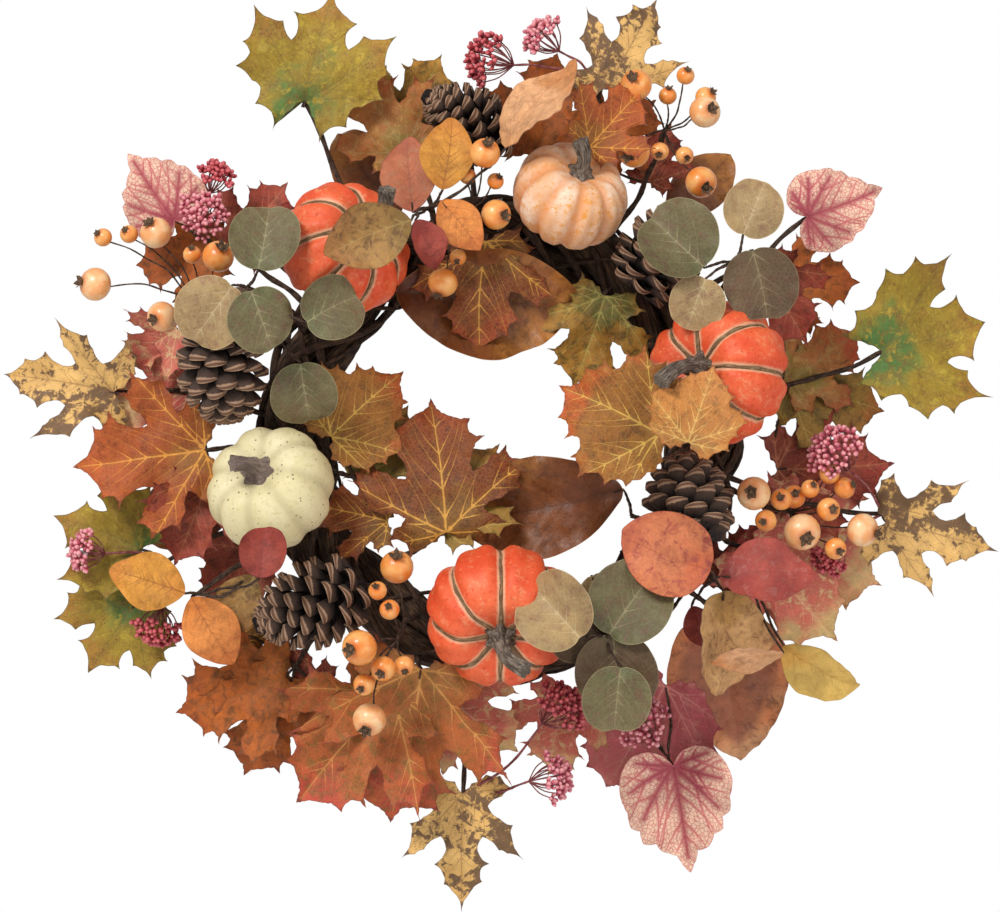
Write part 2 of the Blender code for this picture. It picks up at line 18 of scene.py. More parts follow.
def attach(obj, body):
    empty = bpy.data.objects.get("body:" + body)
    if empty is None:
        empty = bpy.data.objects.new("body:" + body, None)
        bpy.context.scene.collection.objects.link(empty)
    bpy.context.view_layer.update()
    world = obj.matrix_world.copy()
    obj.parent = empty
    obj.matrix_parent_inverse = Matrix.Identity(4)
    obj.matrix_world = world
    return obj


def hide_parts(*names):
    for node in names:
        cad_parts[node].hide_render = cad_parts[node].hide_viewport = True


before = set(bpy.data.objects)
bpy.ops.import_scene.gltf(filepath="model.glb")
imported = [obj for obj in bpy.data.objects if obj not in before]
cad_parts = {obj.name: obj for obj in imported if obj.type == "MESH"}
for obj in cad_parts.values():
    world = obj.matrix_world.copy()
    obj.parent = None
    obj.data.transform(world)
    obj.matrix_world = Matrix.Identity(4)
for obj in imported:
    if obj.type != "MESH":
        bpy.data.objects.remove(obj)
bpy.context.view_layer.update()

MM = 0.001
RING_RADIUS = 0.123
VINE_COUNT = 3
VINE_RADIUS = 0.0097
VINE_TWISTS = 3
VINE_OFFSET = 0.012033
BUNDLE_RADIUS = VINE_OFFSET + VINE_RADIUS
CENTRE_Z = BUNDLE_RADIUS - RING_RADIUS
SEAT_GAP = 0.0010
FRONT = np.array((0.0, -1.0, 0.0))
GOLDEN_ANGLE = math.radians(137.508)


# ---------------------------------------------------------------- places

def across(angle, out, forward):
    radius = RING_RADIUS + out
    return np.array((radius * math.sin(angle), -forward, CENTRE_Z + radius * math.cos(angle)))


def place(clock, out, lift):
    return across(math.radians(clock), out * MM, BUNDLE_RADIUS + lift * MM)


def heading_vector(degrees, tilt=0.0):
    turn, rise = math.radians(degrees), math.radians(tilt)
    flat = np.array((math.sin(turn), 0.0, math.cos(turn)))
    return flat * math.cos(rise) + FRONT * math.sin(rise)


def unit(vector):
    return vector / max(np.linalg.norm(vector), 1e-12)


def rolling_frame(heading, tilt, roll):
    """Side, midrib and normal of a leaf, as columns."""
    midrib = heading_vector(heading, tilt)
    side = heading_vector(heading + 90)
    normal = np.cross(side, midrib)
    turn = math.radians(roll)
    rolled = side * math.cos(turn) + normal * math.sin(turn)
    return np.stack((rolled, midrib, np.cross(rolled, midrib)), axis=1)


def smooth_curve(points, steps, cyclic=False):
    """Catmull-Rom points through the given ones."""
    points = np.array(points, float)
    if cyclic:
        padded = np.concatenate((points[-1:], points, points[:2]))
        spans = len(points)
    else:
        first = 2 * points[:1] - points[1:2]
        last = 2 * points[-1:] - points[-2:-1]
        padded = np.concatenate((first, points, last))
        spans = len(points) - 1
    made = []
    for span in range(spans):
        a, b, c, d = padded[span:span + 4]
        for step in range(steps):
            t = step / steps
            made.append(0.5 * (2 * b + (c - a) * t + (2 * a - 5 * b + 4 * c - d) * t ** 2
                               + (3 * b - a - 3 * c + d) * t ** 3))
    if not cyclic:
        made.append(points[-1])
    return np.array(made)


# ---------------------------------------------------------------- materials

def rgb(code):
    """Linear colour of a hexadecimal display colour."""
    values = [int(code[i:i + 2], 16) / 255 for i in (0, 2, 4)]
    linear = [v / 12.92 if v <= 0.04045 else ((v + 0.055) / 1.055) ** 2.4 for v in values]
    return (*linear, 1.0)


class Graph:
    """A material and short ways to add nodes to it."""

    def __init__(self, name, roughness=0.6, specular=0.4, metallic=0.0):
        self.material = bpy.data.materials.new(name)
        self.material.use_nodes = True
        self.nodes = self.material.node_tree.nodes
        self.links = self.material.node_tree.links
        self.shader = self.nodes["Principled BSDF"]
        self.shader.inputs["Roughness"].default_value = roughness
        self.shader.inputs["Specular IOR Level"].default_value = specular
        self.shader.inputs["Metallic"].default_value = metallic

    def put(self, socket, value):
        if isinstance(value, bpy.types.NodeSocket):
            self.links.new(value, socket)
        else:
            socket.default_value = value

    def attribute(self, name):
        node = self.nodes.new("ShaderNodeAttribute")
        node.attribute_name = name
        return node.outputs["Vector"]

    def split(self, name):
        node = self.nodes.new("ShaderNodeSeparateXYZ")
        self.put(node.inputs[0], self.attribute(name))
        return node.outputs

    def math(self, operation, a, b=0.0, clamp=False):
        node = self.nodes.new("ShaderNodeMath")
        node.operation = operation
        node.use_clamp = clamp
        self.put(node.inputs[0], a)
        self.put(node.inputs[1], b)
        return node.outputs[0]

    def stretch(self, vector, scale):
        node = self.nodes.new("ShaderNodeVectorMath")
        node.operation = "MULTIPLY"
        self.put(node.inputs[0], vector)
        node.inputs[1].default_value = scale
        return node.outputs[0]

    def step(self, value, low, high, start=0.0, end=1.0):
        """Smooth change from start to end as value goes from low to high."""
        node = self.nodes.new("ShaderNodeMapRange")
        node.interpolation_type = "SMOOTHSTEP"
        self.put(node.inputs["Value"], value)
        node.inputs["From Min"].default_value = low
        node.inputs["From Max"].default_value = high
        node.inputs["To Min"].default_value = start
        node.inputs["To Max"].default_value = end
        return node.outputs[0]

    def noise(self, vector, scale, detail=4.0, roughness=0.55, distortion=0.0):
        node = self.nodes.new("ShaderNodeTexNoise")
        self.put(node.inputs["Vector"], vector)
        node.inputs["Scale"].default_value = scale
        node.inputs["Detail"].default_value = detail
        node.inputs["Roughness"].default_value = roughness
        node.inputs["Distortion"].default_value = distortion
        return node.outputs[0]

    def cells(self, vector, scale, feature="DISTANCE_TO_EDGE"):
        node = self.nodes.new("ShaderNodeTexVoronoi")
        node.feature = feature
        self.put(node.inputs["Vector"], vector)
        node.inputs["Scale"].default_value = scale
        return node.outputs["Distance"]

    def mix(self, factor, a, b):
        node = self.nodes.new("ShaderNodeMix")
        node.data_type = "RGBA"
        self.put(node.inputs[0], factor)
        self.put(node.inputs[6], a)
        self.put(node.inputs[7], b)
        return node.outputs[2]

    def value(self, colour, value, saturation=1.0):
        node = self.nodes.new("ShaderNodeHueSaturation")
        self.put(node.inputs["Color"], colour)
        self.put(node.inputs["Value"], value)
        self.put(node.inputs["Saturation"], saturation)
        return node.outputs[0]

    def bump(self, height, strength, distance):
        node = self.nodes.new("ShaderNodeBump")
        node.inputs["Strength"].default_value = strength
        node.inputs["Distance"].default_value = distance
        self.put(node.inputs["Height"], height)
        self.links.new(node.outputs[0], self.shader.inputs["Normal"])

    def paint(self, colour):
        self.links.new(colour, self.shader.inputs["Base Color"])
        return self.material


class Look(NamedTuple):
    """How a printed leaf is coloured, from its petiole to its tips."""
    slot: str
    heart: str
    blade: str
    tip: str
    vein: str
    fleck: str
    edge: str
    veins: float = 0.8
    halo: float = 0.15
    flecks: float = 0.2
    net: float = 0.1
    mottle: float = 0.6
    roughness: float = 0.62
    rust: str = "7A4E22"    # of the mottles on the older leaves


LOOKS = {
    "rust": Look("maple", "8A5624", "A04C22", "BE5A2A", "F0A848", "8A3A1C", "6A2C18", .9, .1, .45),
    "ember": Look("maple", "704A20", "763A1A", "9C4222", "ECB04E", "54301A", "5E2A18", .9, .08, .45),
    "amber": Look("maple", "8A5A22", "925A22", "C05626", "ECC25E", "6A4420", "8A4A22", .85, .08, .5),
    "golden": Look("maple", "9A622C", "C07A38", "CC8040", "F0C874", "8E5A28", "8A4A22", .7, .1, .5),
    "orange": Look("maple", "9C5218", "B05A1A", "A44C1A", "7A4A20", "6E4018", "6A3A18", .5, .1, .75),
    "wine": Look("maple", "823628", "96402E", "A03A2C", "D08A62", "5E2A22", "5A201E", .6, .1, .5),
    "autumn": Look("maple", "84702E", "AE6A34", "C04C2C", "A8905A", "D8A458", "6A3020", .6, .1, .7),
    "sunset": Look("maple", "946030", "AC5A2C", "C04836", "E0A458", "7E6A2C", "74302A", .75, .1, .6),
    "blush": Look("maple", "BC5048", "CA6656", "EECB88", "EAC090", "F2D296", "9A4A3A", .7, .1, .8),
    "berry_red": Look("maple", "A4484C", "B8585C", "C46A62", "E09A8C", "D88A7C", "7A3034", .6, .1, .6),
    "olive": Look("maple", "7E6E30", "96702E", "A8602A", "CCAE5C", "62522A", "5E4420", .7, .1, .6),
    "moss": Look("maple", "5E5C2C", "A2742C", "C0842E", "B8AC5C", "4C4C26", "5A4A22", .7, .1, .75),
    "green": Look("green_maple", "4A7034", "9C8028", "AC7C30", "6A5E2C", "C8AA3A", "42351E", .55,
                  .1, .9, .12, .7),
    "spotted": Look("spotted", "DEB066", "E2B46C", "D8A860", "8A6440", "5E4436", "6A5040", .7,
                    .1, 1.0, .05, .3),
    "grape": Look("grape", "C8686C", "DC8A80", "DC8A7E", "A03E4C", "F2D2B4", "C87C78", .9,
                  .6, 1.0, .3, .2),
    "disc_green": Look("eucalyptus", "5E5E3C", "665C3C", "6E6242", "B4A87E", "7E5646", "9A9068",
                       .55, .08, .55, .1, .5, .55),
    "disc_khaki": Look("eucalyptus", "A88A5C", "A0845A", "A8875C", "DCC89A", "9A6A52", "C8B084",
                       .55, .08, .6, .1, .45, .55),
    "disc_brown": Look("eucalyptus", "5E4E34", "644E36", "5E4A34", "A89672", "744C3C", "8A7A5A",
                       .6, .08, .6, .1, .5, .55),
    "magnolia": Look("magnolia", "68381E", "824A24", "C07E3C", "54301C", "5A301C", "A8703A", .55,
                     .3, .4, .05, .5, .4),
    "magnolia_coral": Look("magnolia", "A85C3A", "CC7E50", "D69A6A", "9A5C42", "7C4636", "B0704C",
                           .5, .2, .55, .05, .4, .42),
    "lemon": Look("ovate", "E2AE54", "ECC468", "E6BC62", "B07C30", "DCA050", "C49A4A", .5, .05, .3, .1, .3),
    "honey": Look("ovate", "CC8432", "D08E36", "CC8032", "7E421E", "C07A2A", "B8782C", .75, .05, .35),
    "tangerine": Look("ovate", "DC8238", "E08C46", "D67A3C", "904A28", "C86E34", "B4622E", .65, .05, .4),
    "brick": Look("ovate", "A85C40", "B86C4A", "B06044", "84402E", "D0906A", "7C3E2A", .55, .1, .6),
    "bronze": Look("ovate", "7E6030", "A07640", "9A6636", "C4A468", "6E4A28", "6A4A26", .45, .05, .8),
    "cherry": Look("ovate", "963C34", "A2483A", "983A2E", "74302A", "82322A", "7A2C28", .55, .1, .5),
    "rose": Look("ovate", "963E38", "AC4E42", "983E36", "8A3A34", "D8887A", "9A4438", .55, .1, .4),
    "coral": Look("ovate", "BE6440", "CA7850", "C06648", "94402C", "AE5248", "A04A34", .5, .08, .9),
    "tan": Look("ovate", "B4884A", "D0A068", "CC9662", "8A6238", "A06C44", "8A6A38", .55, .1, .8),
    "peach": Look("ovate", "DCA06A", "E2A878", "DA9056", "A86840", "CC9060", "B07448", .5, .05, .4),
}


def leaf_material(name):
    look = LOOKS[name]
    g = Graph(name, look.roughness, 0.35)
    at = g.attribute("at")
    vein, main, edge = g.split("mark")
    _, reach, back = g.split("tone")
    broad = g.noise(at, 0.045, 3)
    patch = g.noise(at, 0.17, 6, 0.65, 0.6)
    fine = g.noise(at, 0.9, 4, 0.6)
    spread = g.math("ADD", reach, g.math("MULTIPLY", g.math("SUBTRACT", broad, 0.5), 1.1))
    colour = g.mix(g.step(spread, 0.08, 0.42), rgb(look.heart), rgb(look.blade))
    colour = g.mix(g.step(spread, 0.55, 0.98), colour, rgb(look.tip))
    if name == "magnolia_coral":
        middle = g.math("MULTIPLY", g.step(edge, 5, 13), g.step(fine, 0.3, 0.6, 0.65, 1))
        colour = g.mix(g.math("MULTIPLY", middle, 0.75), colour, rgb(look.fleck))
    net = g.step(g.cells(at, 0.42), 0.02, 0.12, 1, 0)
    if name == "grape":
        pale = g.math("MULTIPLY", g.step(vein, 1.0, 7.0), g.step(fine, 0.28, 0.5))
        pale = g.math("MULTIPLY", pale, g.step(net, 0.2, 0.8, 1, 0.25))
        colour = g.mix(g.math("MULTIPLY", pale, 0.85), colour, rgb(look.fleck))
    elif name == "spotted":
        rim = g.step(edge, 0.5, 9, 0.05, -0.03)
        side = g.math("MULTIPLY", g.step(g.split("at")[0], -9, 9), -0.13)
        stain = g.math("ADD", g.math("ADD", patch, rim), g.math("MULTIPLY", broad, 0.5))
        stain = g.step(g.math("ADD", stain, side), 0.69, 0.76)
        colour = g.mix(g.math("MULTIPLY", stain, 0.85), colour, rgb(look.fleck))
        specks = g.math("MULTIPLY", g.step(fine, 0.56, 0.62), g.step(patch, 0.46, 0.56, 0, 0.8))
        colour = g.mix(specks, colour, rgb(look.fleck))
    else:
        colour = g.mix(g.step(patch, 0.50, 0.66, 0, look.flecks), colour, rgb(look.fleck))
    if name in ("green", "moss", "autumn", "orange", "sunset"):
        rust = g.math("MULTIPLY", g.step(g.noise(at, 0.11, 6, 0.7), 0.50, 0.62),
                      g.step(fine, 0.42, 0.58, 0, 0.75))
        colour = g.mix(rust, colour, rgb(look.rust))
    shade = g.math("ADD", g.math("MULTIPLY", g.math("SUBTRACT", patch, 0.5), -look.mottle * 1.8),
                   g.step(broad, 0.30, 0.70, 1.10, 0.80))
    grain = g.math("ADD", g.math("MULTIPLY", g.math("SUBTRACT", fine, 0.5), look.mottle * 0.9), shade)
    colour = g.value(colour, grain)
    colour = g.mix(g.math("MULTIPLY", net, look.net), colour, rgb(look.vein))
    colour = g.mix(g.step(main, 0.0, 4.0, look.halo, 0), colour, rgb(look.vein))
    line = g.math("MULTIPLY", g.step(vein, 0.5, 1.3, look.veins, 0), g.step(main, 0.4, 9, 1, 0.45))
    line = g.math("MULTIPLY", line, g.step(patch, 0.30, 0.55, 1, 0.6))
    colour = g.mix(line, colour, rgb(look.vein))
    colour = g.mix(g.step(edge, 0.15, 0.6, 0.6, 0), colour, rgb(look.edge))
    dull = g.value(colour, 0.86, 0.62)
    colour = g.mix(g.math("MULTIPLY", back, 0.8), colour, dull)
    height = g.math("ADD", g.math("MULTIPLY", patch, 0.6), g.math("MULTIPLY", fine, 0.35))
    height = g.math("SUBTRACT", height, g.math("MULTIPLY", line, 0.5))
    height = g.math("SUBTRACT", height, g.math("MULTIPLY", net, 0.15))
    g.bump(height, 0.5, 0.0007)
    return g.paint(colour)


def bark_material(name, dark, light, scale=1.0):
    g = Graph(name, 0.85, 0.25)
    at = g.attribute("at")
    strands = g.noise(g.stretch(at, (0.9 * scale, 0.10 * scale, 1)), 1.0, 6, 0.65, 0.4)
    patch = g.noise(at, 0.12 * scale, 4)
    mixed = g.math("ADD", g.math("MULTIPLY", strands, 0.75), g.math("MULTIPLY", patch, 0.25))
    g.bump(strands, 0.9, 0.0012)
    return g.paint(g.mix(g.step(mixed, 0.40, 0.66), rgb(dark), rgb(light)))


def wire_material(name, dark, light, metallic, roughness):
    g = Graph(name, roughness, 0.5, metallic)
    at = g.attribute("at")
    rub = g.noise(g.stretch(at, (0.5, 0.15, 1)), 1.0, 5, 0.6)
    g.bump(rub, 0.3, 0.0003)
    return g.paint(g.mix(g.step(rub, 0.40, 0.62), rgb(dark), rgb(light)))


def pumpkin_material(name, base, light, dark, spot, spots, groove, lined, flecks):
    """spots and flecks are shares; lined pumpkins have tan grooves with pale edges."""
    g = Graph(name, 0.5, 0.4)
    at = g.attribute("at")
    gap, _, _ = g.split("mark")
    broad = g.noise(at, 0.035, 4, 0.55)
    fine = g.noise(at, 0.35, 6, 0.7)
    colour = g.mix(g.step(broad, 0.34, 0.68), rgb(base), rgb(light))
    colour = g.mix(g.step(fine, 0.50, 0.66, 0, 0.7), colour, rgb(dark))
    coarse = g.noise(at, 0.11, 5, 0.7, 0.5)
    scuffs = g.math("MULTIPLY", g.step(coarse, 0.50, 0.62), g.step(fine, 0.44, 0.56, 0, flecks))
    colour = g.mix(scuffs, colour, rgb(spot))
    dots = g.cells(at, 0.22, "F1")
    size = g.math("MULTIPLY", g.noise(at, 0.5, 1), 0.30)
    dots = g.step(g.math("SUBTRACT", dots, size), -0.06, 0.02, spots, 0)
    colour = g.mix(dots, colour, rgb(spot))
    if lined:
        ragged = g.math("ADD", gap, g.math("MULTIPLY", g.math("SUBTRACT", fine, 0.5), 2.4))
        colour = g.mix(g.step(ragged, 1.6, 3.4, 0.75, 0), colour, rgb("EDBE96"))
        colour = g.mix(g.step(ragged, 0.5, 1.7, 0.9, 0), colour, rgb(groove))
    else:
        colour = g.mix(g.step(gap, 0.0, 5.0, 0.5, 0), colour, rgb(groove))
    rough = g.step(fine, 0.3, 0.7, 0.42, 0.62)
    g.put(g.shader.inputs["Roughness"], rough)
    g.bump(g.math("ADD", fine, g.math("MULTIPLY", dots, -0.4)), 0.35, 0.0009)
    return g.paint(colour)


def cone_material():
    g = Graph("cone_scales", 0.75, 0.3)
    at = g.attribute("at")
    length, _, under = g.split("tone")
    grain = g.noise(g.stretch(at, (1.2, 0.25, 1)), 1.0, 5, 0.6)
    end = g.math("ADD", length, g.math("MULTIPLY", g.math("SUBTRACT", grain, 0.5), 0.10))
    colour = g.mix(g.step(grain, 0.35, 0.7), rgb("1A1412"), rgb("352A25"))
    colour = g.mix(g.step(end, 0.62, 0.90, 0, 0.55), colour, rgb("5A4438"))
    # Painted highlight: the pale band at the very end of each scale stands in for light caught on the rims.
    colour = g.mix(g.step(end, 0.945, 0.985, 0, 0.85), colour, rgb("B08C70"))
    middle = g.math("MULTIPLY", g.step(under, 0.05, 0.35), g.step(under, 0.65, 0.95, 1, 0))
    colour = g.mix(g.math("MULTIPLY", middle, g.step(length, 0.9, 0.99)), colour, rgb("684A38"))
    g.bump(grain, 0.7, 0.0007)
    return g.paint(colour)


def berry_material(name, base, pale, blush):
    g = Graph(name, 0.34, 0.5)
    g.shader.inputs["Coat Weight"].default_value = 0.25
    at = g.attribute("at")
    pole = g.split("tone")[0]
    broad = g.noise(at, 0.10, 3)
    fine = g.noise(at, 0.8, 5, 0.7)
    colour = g.mix(g.step(broad, 0.36, 0.64), rgb(base), rgb(pale))
    colour = g.mix(g.step(fine, 0.54, 0.72, 0, 0.6), colour, rgb(blush))
    colour = g.mix(g.step(pole, 0.72, 0.98, 0, 0.55), colour, rgb(blush))
    g.bump(fine, 0.2, 0.0005)
    return g.paint(colour)


def bud_material(name, deep, pale):
    g = Graph(name, 0.5, 0.4)
    at = g.attribute("at")
    pole = g.split("tone")[0]
    tint = g.math("ADD", g.noise(at, 0.25, 4), g.math("MULTIPLY", pole, 0.35))
    g.bump(g.noise(at, 1.4, 3), 0.3, 0.0004)
    return g.paint(g.mix(g.step(tint, 0.42, 0.86), rgb(deep), rgb(pale)))


MATERIALS = {name: leaf_material(name) for name in LOOKS}
MATERIALS.update({
    "vine": bark_material("vine", "241812", "6E543E"),
    "twig": bark_material("twig", "281B15", "5E4534", 1.6),
    "petiole": bark_material("petiole", "2A1E19", "6E5646", 2.5),
    "red_petiole": bark_material("red_petiole", "7E3A3C", "C07C78", 2.5),
    "pumpkin_stem": bark_material("pumpkin_stem", "4A3E36", "9C8E7E", 1.4),
    "cream_stem": bark_material("cream_stem", "665750", "988679", 0.8),
    "strand": bark_material("strand", "6E5238", "A98E6A", 2.0),
    "wire": wire_material("wire", "4A4640", "8E8A82", 0.8, 0.45),
    "cone": cone_material(),
    "cone_core": bark_material("cone_core", "120D0B", "2A1E18"),
    "pumpkin_red": pumpkin_material("pumpkin_red", "E4512A", "EE6A3C", "CC3E1E", "F6A474", 0.4,
                                    "84684A", True, 0.45),
    "pumpkin_peach": pumpkin_material("pumpkin_peach", "E8AC7C", "F6DCC4", "E29A50", "E69630",
                                      0.9, "DE8440", False, 0.9),
    "pumpkin_cream": pumpkin_material("pumpkin_cream", "DED09E", "E8DCB0", "CFBF8A", "5A4A38",
                                      0.8, "BDB084", False, 0.0),
    "berry_orange": berry_material("berry_orange", "EE8C38", "F6B266", "DA5E22"),
    "berry_pale": berry_material("berry_pale", "F2A666", "F7CC98", "E27438"),
    "calyx": bark_material("calyx", "4A382C", "9A7A5C", 3.0),
    "bud_pink": bud_material("bud_pink", "C05466", "F0A6AA"),
    "bud_red": bud_material("bud_red", "9A2C36", "D86A6E"),
})


# ---------------------------------------------------------------- pieces

class Piece:
    """Collects closed shapes with their vertex data, then makes one object of them."""

    def __init__(self):
        self.points, self.faces, self.slots, self.materials = [], [], [], []
        self.data = {"at": [], "mark": [], "tone": []}
        self.count = 0

    def add(self, points, faces, material, **data):
        if material not in self.materials:
            self.materials.append(material)
        self.points.append(points)
        self.faces.extend([[i + self.count for i in face] for face in faces])
        self.slots.extend([self.materials.index(material)] * len(faces))
        for key, parts in self.data.items():
            parts.append(np.broadcast_to(data.get(key, (0.0, 0.0, 0.0)), (len(points), 3)))
        self.count += len(points)

    def make(self, name, slot, *nodes, body="wreath", crease=50):
        mesh = bpy.data.meshes.new(name)
        mesh.from_pydata(np.concatenate(self.points).tolist(), [], self.faces)
        for key, parts in self.data.items():
            layer = mesh.attributes.new(key, "FLOAT_VECTOR", "POINT")
            layer.data.foreach_set("vector", np.concatenate(parts).astype(np.float32).ravel())
        for material in self.materials:
            mesh.materials.append(MATERIALS[material])
        mesh.polygons.foreach_set("material_index", self.slots)
        mesh.shade_smooth()
        mesh.set_sharp_from_angle(angle=math.radians(crease))
        made = bpy.data.objects.new(name, mesh)
        bpy.context.scene.collection.objects.link(made)
        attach(made, body)
        if nodes:
            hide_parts(*nodes)
        return made


def sweep(points, radii, sides=8, reference=None, cyclic=False, shape=None, seed=0):
    """A bar through points: its points, faces and material coordinates in mm.

    shape(turn, share) scales the radius at each corner.
    """
    points = np.array(points, float)
    count = len(points)
    radii = np.broadcast_to(radii, count)
    if cyclic:
        tangents = np.roll(points, -1, 0) - np.roll(points, 1, 0)
    else:
        tangents = np.gradient(points, axis=0)
    tangents /= np.linalg.norm(tangents, axis=1)[:, None]
    if reference is None:
        first = np.cross(tangents[0], (0.31, 0.82, 0.48))
        normals = [unit(first)]
        for index in range(1, count):
            moved = normals[-1] - tangents[index] * np.dot(normals[-1], tangents[index])
            normals.append(unit(moved))
        normals = np.array(normals)
    else:
        lean = (reference * tangents).sum(1)[:, None]
        normals = reference - tangents * lean
        normals /= np.linalg.norm(normals, axis=1)[:, None]
    others = np.cross(tangents, normals)
    turns = np.arange(sides) * 2 * math.pi / sides
    reach = np.repeat(radii[:, None], sides, 1)
    if shape is not None:
        shares = np.arange(count) / max(count - 1, 1)
        reach = reach * shape(turns[None, :], shares[:, None])
    ring = np.cos(turns)[None, :, None] * normals[:, None]
    ring = ring + np.sin(turns)[None, :, None] * others[:, None]
    made = (points[:, None] + ring * reach[..., None]).reshape(-1, 3)
    steps = np.linalg.norm(np.diff(points, axis=0), axis=1)
    travel = np.concatenate(([0.0], np.cumsum(steps))) / MM
    at = np.empty((count, sides, 3))
    at[..., 0] = np.cos(turns)[None] * radii[:, None] / MM
    at[..., 1] = travel[:, None]
    at[..., 2] = np.sin(turns)[None] * radii[:, None] / MM + seed * 17.3
    faces = []
    rings = count if cyclic else count - 1
    for i in range(rings):
        a, b = i * sides, ((i + 1) % count) * sides
        for j in range(sides):
            k = (j + 1) % sides
            faces.append((a + j, a + k, b + k, b + j))
    if not cyclic:
        faces.append(tuple(range(sides))[::-1])
        faces.append(tuple(range((count - 1) * sides, count * sides)))
    return made, faces, at.reshape(-1, 3)


def add_bar(piece, material, points, radii, sides=8, **options):
    made, faces, at = sweep(points, radii, sides, **options)
    piece.add(made, faces, material, at=at)


def globe(centre, radius, pole, columns=20, rows=13, squash=0.94, dimple=0.0):
    """A round body with its own Z along pole: points, faces and height from -1 to 1."""
    pole = unit(np.array(pole, float))
    side = unit(np.cross(pole, (0.37, 0.61, 0.70)))
    other = np.cross(pole, side)
    heights, points = [], []
    for row in range(rows + 1):
        fall = math.pi * row / rows
        lift = math.cos(fall) * squash - dimple * math.exp(-(fall / 0.35) ** 2)
        width = math.sin(fall)
        many = 1 if row in (0, rows) else columns
        for column in range(many):
            turn = 2 * math.pi * column / columns
            flat = side * math.cos(turn) + other * math.sin(turn)
            points.append(centre + radius * (pole * lift + flat * width))
            heights.append(math.cos(fall))
    faces = []
    for column in range(columns):
        following = (column + 1) % columns
        faces.append((0, 1 + column, 1 + following))
        for row in range(rows - 2):
            a, b = 1 + row * columns, 1 + (row + 1) * columns
            faces.append((a + column, b + column, b + following, a + following))
        last = 1 + (rows - 2) * columns
        faces.append((last + column, len(points) - 1, last + following))
    return np.array(points), faces, np.array(heights)


# ---------------------------------------------------------------- leaves

class Shape(NamedTuple):
    """A leaf's half outline and main veins, as shares of its length of so many mm."""
    length: float
    half: tuple
    lobes: tuple = ()       # tips of the main veins beside the midrib
    smooth: bool = False
    pairs: int = 5          # of side veins on each main vein
    spread: float = 42      # degrees between a side vein and its main vein
    bow: float = 0.07       # how far an edge curves in between two corners
    teeth: float = 0.0      # mm between small teeth
    bite: float = 0.0       # their depth in mm
    pillow: float = 1.2     # mm that the blade swells between its veins


SHAPES = {
    "maple": Shape(78, (
        (0.0, 0.0), (0.07, -0.06), (0.17, -0.09), (0.31, -0.15), (0.30, -0.03), (0.43, 0.01),
        (0.37, 0.08), (0.28, 0.15), (0.43, 0.19), (0.58, 0.24), (0.53, 0.32), (0.68, 0.49),
        (0.52, 0.46), (0.48, 0.56), (0.37, 0.49), (0.23, 0.41), (0.25, 0.55), (0.37, 0.66),
        (0.25, 0.70), (0.27, 0.80), (0.13, 0.83), (0.0, 1.0)),
        ((0.65, 0.47), (0.40, -0.02)), teeth=4.8, bite=1.25),
    "broad": Shape(78, (
        (0.0, 0.0), (0.06, -0.08), (0.18, -0.14), (0.30, -0.12), (0.40, -0.02), (0.52, 0.04),
        (0.48, 0.13), (0.59, 0.22), (0.52, 0.29), (0.64, 0.43), (0.52, 0.46), (0.50, 0.56),
        (0.39, 0.54), (0.33, 0.58), (0.38, 0.69), (0.27, 0.72), (0.25, 0.82), (0.14, 0.84),
        (0.0, 1.0)),
        ((0.61, 0.41), (0.47, 0.03)), teeth=4.0, bite=1.15),
    "green": Shape(64, (
        (0.0, 0.0), (0.09, -0.10), (0.15, -0.20), (0.22, -0.33), (0.27, -0.17), (0.42, -0.14),
        (0.42, 0.02), (0.52, 0.06), (0.69, 0.16), (0.60, 0.30), (0.70, 0.38), (0.62, 0.46),
        (0.66, 0.74), (0.50, 0.66), (0.38, 0.68), (0.26, 0.52), (0.22, 0.66), (0.30, 0.78),
        (0.18, 0.82), (0.0, 1.04)),
        ((0.64, 0.71), (0.66, 0.17), (0.20, -0.28)), bow=0.09, teeth=9, bite=0.35),
    "spotted": Shape(62, (
        (0.0, 0.0), (0.06, -0.10), (0.20, -0.17), (0.34, -0.15), (0.45, -0.04), (0.34, 0.02),
        (0.24, 0.12), (0.34, 0.22), (0.46, 0.28), (0.45, 0.38), (0.55, 0.60), (0.40, 0.54),
        (0.32, 0.50), (0.19, 0.38), (0.15, 0.50), (0.25, 0.64), (0.17, 0.72), (0.17, 0.82),
        (0.09, 0.88), (0.0, 1.06)),
        ((0.52, 0.56), (0.42, -0.04)), bow=0.09, teeth=7, bite=0.45),
    "grape": Shape(50, (
        (0.0, 0.0), (0.09, -0.12), (0.22, -0.17), (0.38, -0.12), (0.49, 0.02), (0.53, 0.18),
        (0.49, 0.33), (0.47, 0.47), (0.40, 0.52), (0.38, 0.63), (0.28, 0.69), (0.22, 0.78),
        (0.10, 0.86), (0.0, 1.08)),
        ((0.38, 0.46), (0.46, 0.18), (0.36, -0.08)), bow=-0.08, teeth=5, bite=0.5, pairs=4, spread=44),
    "round": Shape(46, (
        (0.0, 0.02), (0.12, 0.0), (0.30, 0.06), (0.45, 0.22), (0.52, 0.44), (0.48, 0.68),
        (0.34, 0.88), (0.16, 0.97), (0.0, 0.97)), smooth=True, pairs=4, spread=50, pillow=0.4),
    "ovate": Shape(44, (
        (0.0, 0.0), (0.12, 0.06), (0.27, 0.22), (0.35, 0.42), (0.31, 0.63), (0.18, 0.84),
        (0.06, 0.96), (0.0, 1.0)), smooth=True, pairs=6, spread=48, pillow=0.4),
    "magnolia": Shape(95, (
        (0.0, 0.0), (0.07, 0.04), (0.20, 0.20), (0.28, 0.42), (0.28, 0.60), (0.20, 0.79),
        (0.08, 0.93), (0.0, 1.0)), smooth=True, pairs=9, spread=55, pillow=1.0),
}
